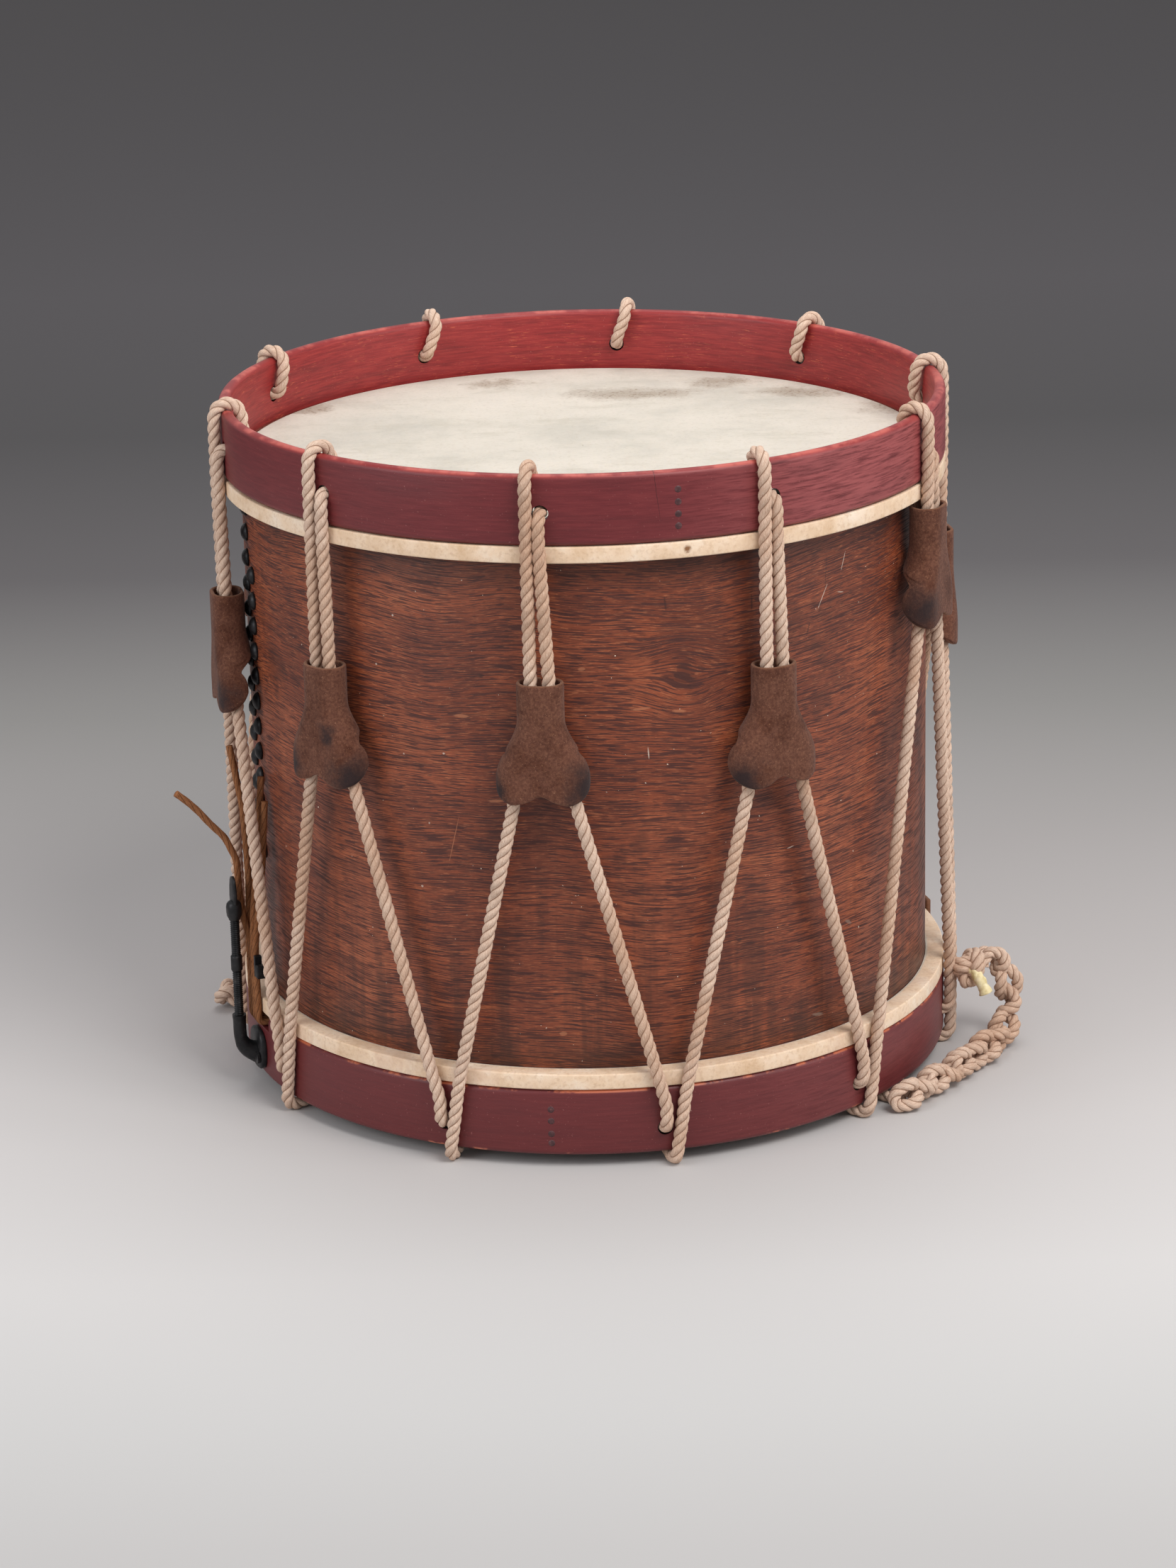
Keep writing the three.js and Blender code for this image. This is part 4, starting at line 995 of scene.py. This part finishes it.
def makeInnerWoodMaterial():
    material, place = newMaterial("innerWood")
    grain = place.stretch(20, 20, 300).noise(1.0, 4, 0.6)
    colour = grain.ramp((0.3, 128, 94, 62), (0.6, 172, 134, 94), (0.8, 188, 152, 112))
    return finishMaterial(material, colour, {"Roughness": 0.8}, (grain, 0.3, 0.0005))


hoopMaterial = makeHoopMaterial()
oakMaterial = makeOakMaterial()
skinMaterial = makeSkinMaterial()
innerWoodMaterial = makeInnerWoodMaterial()
hoopCut = {"hole": 4.65, "gateWidth": 34, "gateHeights": (38.8, 53), "gateReach": (203, 220), "soft": 3.3,
           "wallMiddle": 211.1, "through": 17}
ventCut = {"hole": 4, "wallMiddle": 200, "through": 20}


def buildHoops():
    plan, lace, cut = drumPlan, tensionPlan, hoopCut
    inner, outer = plan["hoopInner"], plan["hoopRadius"]
    upper = turned("upperHoop", rounded(plan["upperHoopBottom"], plan["upperHoopTop"], inner, outer, cut["soft"]),
                   hoopMaterial)
    lower = turned("lowerHoop", rounded(plan["lowerHoopBottom"], plan["lowerHoopTop"], inner, outer, cut["soft"]),
                   hoopMaterial)
    aside = math.degrees(lace["hoopPair"] / 4 / plan["ropeOut"])
    back = math.degrees(lace["footPair"] / 2 / plan["ropeOut"])
    upperSpots = [(earAngle(k) + aside, lace["upperHole"], cut["wallMiddle"]) for k in range(spans)]
    lowerSpots = [(footAngle(k) - back, lace["lowerHole"], cut["wallMiddle"]) for k in range(spans)]
    half = cut["gateWidth"] / 2
    gates = [(angle, cut["gateReach"], (-half, half), cut["gateHeights"])
             for angle in (plan["strainerAngle"], plan["buttAngle"])]
    cutWith(upper, [cutterRods("upperHoles", upperSpots, cut["hole"], cut["through"])])
    cutWith(lower, [cutterRods("lowerHoles", lowerSpots, cut["hole"], cut["through"]), cutterBlocks("gates", gates)])
    for hoop, node in ((upper, "batter_counterhoop"), (lower, "snare_counterhoop")):
        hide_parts(node)
        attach(hoop, "drum")


def buildShell():
    plan, cut = drumPlan, ventCut
    outline = rounded(plan["shellBottom"], plan["shellTop"], plan["shellRadius"] - plan["shellWall"],
                      plan["shellRadius"], 2)
    shell = turned("bentShell", outline, oakMaterial, segments=320)
    cutWith(shell, [cutterRods("vent", [(plan["ventAngle"], plan["middle"], cut["wallMiddle"])], cut["hole"],
                               cut["through"])])
    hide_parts("shell")
    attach(shell, "drum")


# The seat is where the skin tucks in between the bearing edge and the flesh hoop.
headLook = {"skin": 0.8, "lapSoft": 0.9, "crown": 1.4, "hub": 0.5, "spokes": (20, 1.2, 12),
            "seat": [(0, -0.2), (0.6, -0.9), (1.6, -0.4)], "underLap": (2, 0.4)}


def buildHeads():
    plan, look = drumPlan, headLook
    inner, outer, face = plan["shellRadius"] + plan["clearance"], plan["hoopRadius"], plan["batterFace"]
    top, bottom = plan["upperFleshTop"], plan["upperFleshBottom"]
    skin, soft, crown, hub = look["skin"], look["lapSoft"], look["crown"], look["hub"]
    (nearest, margin, spokes), (tuck, lift) = look["spokes"], look["underLap"]
    outline = [(hub, face)] + [(r, face) for r in np.linspace(nearest, inner - margin, spokes)]
    outline += arc(inner + skin - crown, face - crown, crown, 90, -90)
    outline += [(inner + skin + across, top + down) for across, down in look["seat"]]
    outline += arc(outer - soft, top - soft, soft, 90, -90) + arc(outer - soft, bottom + soft, soft, 0, -90)
    outline += [(inner + tuck, bottom), (inner, bottom + lift), (inner, face - skin), (hub, face - skin)]
    outline = np.array(outline)
    flipped = outline * (1, -1) + (0, 2 * plan["middle"])
    for name, node, shape in (("batterSkin", "batter_head", outline[::-1]), ("snareSkin", "snare_head", flipped)):
        head = turned(name, shape, skinMaterial)
        keepSharp(head, degrees=50)
        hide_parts(node)
        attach(head, "drum")


buildHoops()
print("hoops cut")
buildShell()
buildHeads()
print("shell and heads done")


def makeIronMaterial():
    material, place = newMaterial("blackIron")
    wear = place.noise(160, 4, 0.6)
    colour = wear.ramp((0.35, 22, 22, 24), (0.6, 40, 39, 41), (0.8, 78, 74, 72))
    return finishMaterial(material, colour, {"Metallic": 0.5, "Roughness": wear.ramp((0.3, 0.5), (0.8, 0.36))},
                          (wear, 0.3, 0.0005))


def makeNailMaterial():
    material, place = newMaterial("paintedNail")
    rust = place.noise(500, 3, 0.6)
    return finishMaterial(material, rust.ramp((0.35, 58, 30, 33), (0.6, 82, 46, 48), (0.8, 120, 84, 80)),
                          {"Roughness": 0.5})


ironMaterial = makeIronMaterial()
nailMaterial = makeNailMaterial()
# the last colour is the painted shade in the valleys between the gut strands
gutMaterial = makeRopeMaterial("twistedGut", 0.034, 4, 0.0, ((112, 70, 44), (152, 100, 66), (188, 136, 96)),
                               (78, 48, 32))
gutPlan = {
    "pitch": 4.5, "turn": 3, "radial": 217.0, "under": 41.5, "split": 79.2, "leave": 90.4, "end": 120,
    "buttFace": 219.9, "lay": 34, "step": 1.2, "gap": 0.15, "look": 2.1, "bulge": 0.8, "strands": 4,
    "strandSpots": (-1, -0.6, -0.2, 0.2, 0.6), "bowShare": 0.3, "blendGap": 2,
    # how each free end runs on from the clamp: out, aside and up, in shares of its length
    "ends": [
        [(-0.0125, -0.055, 0.33), (-0.006, -0.083, 0.69), (0.0375, -0.121, 1)],
        [(0.029, -0.033, 0.122), (0.038, -0.058, 0.247), (0.042, -0.069, 0.422), (0.096, -0.072, 0.547),
         (0.17, -0.073, 0.63), (0.221, -0.074, 0.697), (0.275, -0.074, 0.755), (0.331, -0.074, 0.805)],
        [(-0.008, 0.021, 0.18), (-0.05, 0.0125, 0.51), (-0.083, 0.004, 0.86)],
        [(-0.02, 0.052, 0.14), (-0.056, 0.056, 0.43), (-0.08, 0.062, 0.75)],
    ],
}


def gutPiece(name, route, blur):
    plan = gutPlan
    route = inFrame(drumPlan["strainerAngle"], route)
    stretch = ropeStretch(route, plan["step"], plan["lay"], blur, first=(1, 0, 0))
    profile = strandProfile(plan["look"], plan["bulge"], plan["strands"], plan["strandSpots"])
    return ropePiece(name, [stretch], gutMaterial, profile, flatten=False)


def buildGuts():
    plan = gutPlan
    turn, radial, under, split = plan["turn"], plan["radial"], plan["under"], plan["split"]
    corner = turn * (1 - math.sqrt(0.5))
    bow, face, gap = plan["pitch"] / 2, plan["buttFace"], plan["gap"]
    part = plan["bowShare"] * bow
    for number, side in ((1, -1), (2, 1)):
        near, far = side * plan["pitch"] / 2, side * 3 * plan["pitch"] / 2
        rises = [[(radial, across, split - gap), (radial, across, under + turn),
                  (radial - corner, across, under + corner), (radial - turn, across, under)] for across in (near, far)]
        loop = [(-face + bow, near, under), (-face + part, near + side * part, under),
                (-face, (near + far) / 2, under), (-face + part, far - side * part, under),
                (-face + bow, far, under)]
        gut = gutPiece(f"snareGut{number}", rises[0] + loop + rises[1][::-1], blur=0.8)
        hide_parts(f"snare_gut_{number}")
        x, y, _ = inFrame(drumPlan["strainerAngle"], [(radial, 0, 0)])[0]
        x * mm
        y * mm
        (split - plan["blendGap"]) * mm
        x * mm
        y * mm
        (under + turn) * mm
        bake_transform(gut)
    for number, end in enumerate(plan["ends"]):
        across = (number - 1.5) * plan["pitch"]
        route = [(radial, across, split + gap), (radial, across, plan["leave"])]
        route += [(radial + out * plan["end"], aside * plan["end"], plan["leave"] + up * plan["end"])
                  for out, aside, up in end]
        tail = gutPiece(f"gutTail{number + 1}", route, blur=2.0)
        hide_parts(f"gut_tail_{number + 1}")
        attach(tail, "carriage")


# The threaded rod with its collar and thumb leaf, in the strainer's own frame. The collar
# is radii and heights, the leaf its outline and the layers how thick and how large.
screwPlan = {
    "reach": 227.2, "radius": 2.6, "thread": 0.3, "pitch": 1.25, "sides": 18, "rows": (37.3, 107.3, 0.25),
    "collar": [(2.2, 106.6), (3.4, 106.8), (3.7, 108), (4.5, 109.5), (4.75, 112), (4.75, 115), (4.3, 117),
               (3.2, 118.3), (2, 118.6)],
    "leaf": [(-4.6, 117), (-5.4, 121), (-5.2, 127), (-4.2, 131), (-2.4, 133.3), (0, 133.9),
             (2.4, 133.3), (4.2, 131), (5.2, 127), (5.4, 121), (4.6, 117)],
    "layers": [(-1.2, 0.92), (-0.7, 1), (0.7, 1), (1.2, 0.92)], "taper": 0.35 / 17,
}


def buildScrew():
    plan = screwPlan
    sides, reach = plan["sides"], plan["reach"]
    angles, rows = ringTurns(sides), np.arange(*plan["rows"])
    collar = np.array(plan["collar"])
    threads = plan["radius"] + plan["thread"] * np.cos(fullTurn * rows[:, None] / plan["pitch"] - angles)
    points, faces, start = [], [], 0
    for radii, heights in ((threads, rows), (collar[:, :1].repeat(sides, axis=1), collar[:, 1])):
        heights = np.broadcast_to(heights[:, None], radii.shape)
        tube = np.stack([reach + radii * np.cos(angles), radii * np.sin(angles), heights], axis=-1)
        points.append(tube.reshape(-1, 3))
        faces += tubeFaces(len(radii), sides, start)
        start += radii.size
    base = plan["leaf"][0][1]
    for thick, large in plan["layers"]:
        points.append([(reach + thick * (1 - plan["taper"] * (z - base)), y * large, z) for y, z in plan["leaf"]])
    faces += tubeFaces(len(plan["layers"]), len(plan["leaf"]), start)
    screw = meshPiece("strainerScrew", inFrame(drumPlan["strainerAngle"], np.concatenate(points)), faces,
                      ironMaterial)
    keepSharp(screw, degrees=50)
    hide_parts("strainer_screw")
    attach(screw, "screw")


# The strainer's foot: a socket that bends in to a rounded plate on the hoop.
bracketPlan = {
    "route": [(227.2, 0, 46.2), (227.2, 0, 36), (226.9, 0, 31), (225.2, 0, 26.4), (221.8, 0, 23), (216.6, 0, 20.5)],
    "sizes": [(0, 1.06), (0.06, 1.06), (0.1, 1), (0.5, 1), (1, 1.7)], "radius": 3.95, "sides": 20,
    "plateReach": 12.6, "plateMiddle": 23.6, "plateSides": 28, "squareness": 0.75, "untwisted": 1e9,
    # reach, size, and whether the layer follows the hoop
    "layers": [(215.0, 1, True), (217.0, 1, False), (217.8, 0.94, False)],
}


def buildBracket():
    plan, angle, count = bracketPlan, drumPlan["strainerAngle"], bracketPlan["plateSides"]

    def squared(level):
        return math.copysign(abs(level) ** plan["squareness"], level)

    plate = []
    for depth, size, follows in plan["layers"]:
        for turn in ringTurns(count):
            y = plan["plateReach"] * size * squared(math.cos(turn))
            z = plan["plateReach"] * size * squared(math.sin(turn))
            plate.append((math.sqrt(depth ** 2 - y ** 2) if follows else depth, y, plan["plateMiddle"] + z))
    socket = ropeStretch(inFrame(angle, plan["route"]), step=0.8, lay=plan["untwisted"], blur=1.2, first=(1, 0, 0),
                         scales=plan["sizes"])
    profile = ringTurns(plan["sides"]), np.full(plan["sides"], plan["radius"])
    piece = ropePiece("strainerBracket", [socket], ironMaterial, profile, flatten=False)
    base = meshPiece("bracketPlate", inFrame(angle, plate), tubeFaces(len(plan["layers"]), count), ironMaterial)
    for part in (piece, base):
        keepSharp(part, degrees=50)
        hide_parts("strainer_bracket")
        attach(part, "drum")


# A CAD node's own mesh with its edges eased.
def easedNode(node, body, width, trims=()):
    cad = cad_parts[node]
    mesh = cad.data.copy()
    shape = bmesh.new()
    shape.from_mesh(mesh)
    bmesh.ops.remove_doubles(shape, verts=shape.verts, dist=1e-6)
    shape.to_mesh(mesh)
    shape.free()
    mesh.materials.clear()
    mesh.materials.append(ironMaterial)
    head, *rest = node.split("_")
    piece = linkObject(head + "".join(word.title() for word in rest), mesh)
    piece.matrix_world = cad.matrix_world.copy()
    if trims:
        cutWith(piece, [cutterBlocks("trims", [(drumPlan["strainerAngle"], *trim) for trim in trims])])
    edge = piece.modifiers.new("edge", "BEVEL")
    edge.width, edge.segments, edge.limit_method = width * mm, 2, "ANGLE"
    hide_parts(node)
    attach(piece, body)


# The carriage is slimmer where it rides on the rod than where it grips the guts.
carriageTrims = [((222.6, 240), (-20, -5.1), (60, 100)), ((222.6, 240), (-20, 20), (60, 74.2)),
                 ((222.6, 240), (-20, 20), (84.2, 100))]
easedEdges = {"carriage": 1.3, "jaw": 0.4, "bolt": 0.9}


def dressNodes():
    easedNode("strainer_carriage", "carriage", easedEdges["carriage"], carriageTrims)
    easedNode("strainer_jaw", "jaw", easedEdges["jaw"])
    easedNode("clamp_bolt", "bolt", easedEdges["bolt"])
    for material, nodes in (
            (ironMaterial, ("bracket_screw_1", "bracket_screw_2", "butt_screw_1", "butt_screw_2")),
            (innerWoodMaterial, ("batter_glue_ring", "snare_glue_ring", "batter_flesh_hoop", "snare_flesh_hoop"))):
        for node in nodes:
            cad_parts[node].data.materials.clear()
            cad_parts[node].data.materials.append(material)


buildGuts()
buildScrew()
buildBracket()
dressNodes()
print("strainer and guts done")

# The knot is two loops wound together, the whipped end lies beside it.
knotPlan = {
    "middle": (230.6, -3, 50), "foot": 2, "strand": 4.0, "reach": 8.8, "depth": 4.6, "spin": 0.4,
    "secondShift": (-1, -3, -1), "secondReach": 7.6, "secondSpin": 2.3, "secondLean": (0.9, 0.4),
    "end": [(227, -37, 52), (231, -42, 49.5), (233.6, -45, 45.5), (235.8, -46.4, 41), (237.2, -46.8, 37.6)],
    "endSizes": [(0, 0.9), (0.55, 0.9), (0.62, 1.0), (0.76, 0.82), (1, 1.12)], "endLay": 16.0, "endFuzz": 1.5,
    "endBulge": 0.8,
}


def makeThreadMaterial():
    material, place = newMaterial("waxedThread")
    wraps = place.noise(260, 3, 0.6)
    colour = wraps.ramp((0.3, 206, 186, 132), (0.5, 234, 218, 170), (0.75, 246, 236, 204))
    return finishMaterial(material, colour, {"Roughness": 0.6}, (wraps, 0.4, 0.0008))


def buildKnot():
    plan, up = knotPlan, (0, 0, 1)
    angle = footAngle(plan["foot"])
    centre = inFrame(angle, [plan["middle"]])[0]
    out, side = outAndSide(angle)
    narrow, rise = plan["secondLean"]
    loops = [trefoil(centre, plan["reach"], plan["depth"], plan["spin"], out, up, side),
             trefoil(centre + np.array(plan["secondShift"]), plan["secondReach"], plan["depth"], plan["secondSpin"],
                     (out[0] * narrow, out[1], rise), up, side)]
    stretches = [ropeStretch(loop, step=0.8, lay=ropeLook["knotLay"], blur=1.2) for loop in loops]
    knot = ropePiece("ropeKnot", stretches, ropeMaterial, strandProfile(plan["strand"]), fuzz=ropeLook["knotFuzz"])
    end = ropeStretch(plan["end"], step=0.6, lay=plan["endLay"], blur=1.0, scales=plan["endSizes"])
    whipped = ropePiece("whippedEnd", [end], makeThreadMaterial(), strandProfile(plan["strand"], plan["endBulge"]),
                        fuzz=plan["endFuzz"])
    for piece in (knot, whipped):
        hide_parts("rope_knot")
        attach(piece, "drum")


buttPlan = {"low": 13.0, "tall": 50, "wide": 44, "columns": 22, "rows": 25, "reach": 216.2, "thickness": 2.6}


def buildButt():
    plan = buttPlan
    columns, rows, reach = plan["columns"], plan["rows"], plan["reach"]
    points = []
    for j in range(columns + 1):
        swing = (j / columns - 0.5) * plan["wide"] / drumPlan["hoopRadius"]
        for i in range(rows + 1):
            points.append((reach * math.cos(swing), reach * math.sin(swing), plan["low"] + plan["tall"] * i / rows))
    faces = sheetFaces(columns + 1, rows + 1)[:, ::-1]
    patch = meshPiece("buttLeather", inFrame(drumPlan["buttAngle"], points), faces, suedeMaterial)
    thicken(patch, plan["thickness"])
    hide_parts("butt_leather")
    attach(patch, "drum")


buildKnot()
buildButt()


# Round heads on a wall: each spot is its angle, height and the wall's radius there.
def domes(name, spots, radius, height, material, sides=14, rows=4):
    points, faces, start = [], [], 0
    for angle, z, face in spots:
        local = []
        for i in range(rows):
            tilt = math.pi / 2 * i / rows
            lift, spread = height * math.sin(tilt), radius * math.cos(tilt)
            local += [(face + lift, spread * math.cos(turn), z + spread * math.sin(turn)) for turn in ringTurns(sides)]
        points.append(inFrame(angle, local + [(face + height, 0, z)]))
        last, top = start + (rows - 1) * sides, start + rows * sides
        faces += tubeFaces(rows, sides, start, caps=False)
        faces += [[last + j, last + (j + 1) % sides, top] for j in range(sides)]
        faces.append([start + j for j in reversed(range(sides))])
        start = top + 1
    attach(meshPiece(name, np.concatenate(points), faces, material), "drum")


# Each row of tacks is its angle, the height of its top tack and its count.
tackPlan = {"pitch": 15.4, "radius": 5.5, "height": 3.7, "sunk": 0.05,
            "rows": [(-167.6, 352, 16), (-163.8, 313.5, 12)]}
nailPlan = {"radius": 2.1, "height": 0.6, "face": 214.4,
            "rows": [(-76.1, (399.1, 391.9, 385.1, 378.3)), (-97.2, (36.1, 29, 21.1, 15.4))]}


def buildTacks():
    face = drumPlan["shellRadius"] - tackPlan["sunk"]
    tacks = [(angle, high - tackPlan["pitch"] * i, face) for angle, high, count in tackPlan["rows"]
             for i in range(count)]
    nails = [(angle, z, nailPlan["face"]) for angle, heights in nailPlan["rows"] for z in heights]
    domes("seamTacks", tacks, tackPlan["radius"], tackPlan["height"], ironMaterial)
    domes("hoopNails", nails, nailPlan["radius"], nailPlan["height"], nailMaterial)


buildTacks()
print("trim done")

# The floor runs on into the backdrop: places along it towards the back and their colours, painted light that is
# brightest just in front of the drum and falls off to dark towards the back.
floorPlan = {
    "half": 30000, "level": -0.2, "from": 1.0, "length": 5.3,
    "tones": [(0.0, 164, 162, 161), (0.061, 180, 178, 177), (0.088, 190, 189, 188), (0.12, 200, 198, 197),
              (0.158, 196, 193, 192), (0.202, 184, 180, 179), (0.253, 167, 163, 162), (0.316, 139, 137, 135),
              (0.392, 103, 100, 101), (0.488, 89, 87, 88), (0.61, 98, 95, 97), (1.0, 97, 94, 95)],
}
# Each lamp's place, target, size, power and colour.
lampPlan = {
    "keyLamp": ((1.2, -1.6, 2.6), (0, 0, 0.2), 1.6, 56, (1.0, 0.98, 0.96)),
    "fillLamp": ((-2.2, -1.6, 1.4), (0, 0, 0.2), 1.8, 27, (0.97, 0.98, 1.0)),
    "sideLamp": ((2.6, -0.9, 1.1), (0, 0, 0.25), 1.2, 13, (1.0, 0.98, 0.96)),
    "topLamp": ((0, 0.8, 2.8), (0, 0, 0.3), 1.6, 20, (1, 1, 1)),
}
skyPlan = {"Color": (0.92, 0.93, 0.95, 1), "Strength": 0.54}


def buildStage():
    plan = floorPlan
    material, place = newMaterial("paleFloor")
    back = (place.parts()[1] + plan["from"]) / plan["length"]
    finishMaterial(material, back.ramp(*plan["tones"]), {"Roughness": 0.9, "Specular IOR Level": 0.1})
    half, level = plan["half"], plan["level"]
    corners = [(-half, -half, level), (half, -half, level), (half, half, level), (-half, half, level)]
    meshPiece("paleFloor", corners, [[0, 1, 2, 3]], material)


def buildLights():
    for name, (place, target, size, power, colour) in lampPlan.items():
        data = bpy.data.lights.new(name, "AREA")
        data.shape, data.size, data.energy, data.color = "DISK", size, power, colour
        light = linkObject(name, data)
        light.location = place
        light.rotation_mode = "QUATERNION"
        light.rotation_quaternion = Vector(np.array(target) - np.array(place)).to_track_quat("-Z", "Y")
    world = bpy.data.worlds.new("studio")
    bpy.context.scene.world = world
    world.use_nodes = True
    fill(world.node_tree.nodes["Background"], skyPlan)


buildStage()
buildLights()
print("stage set")
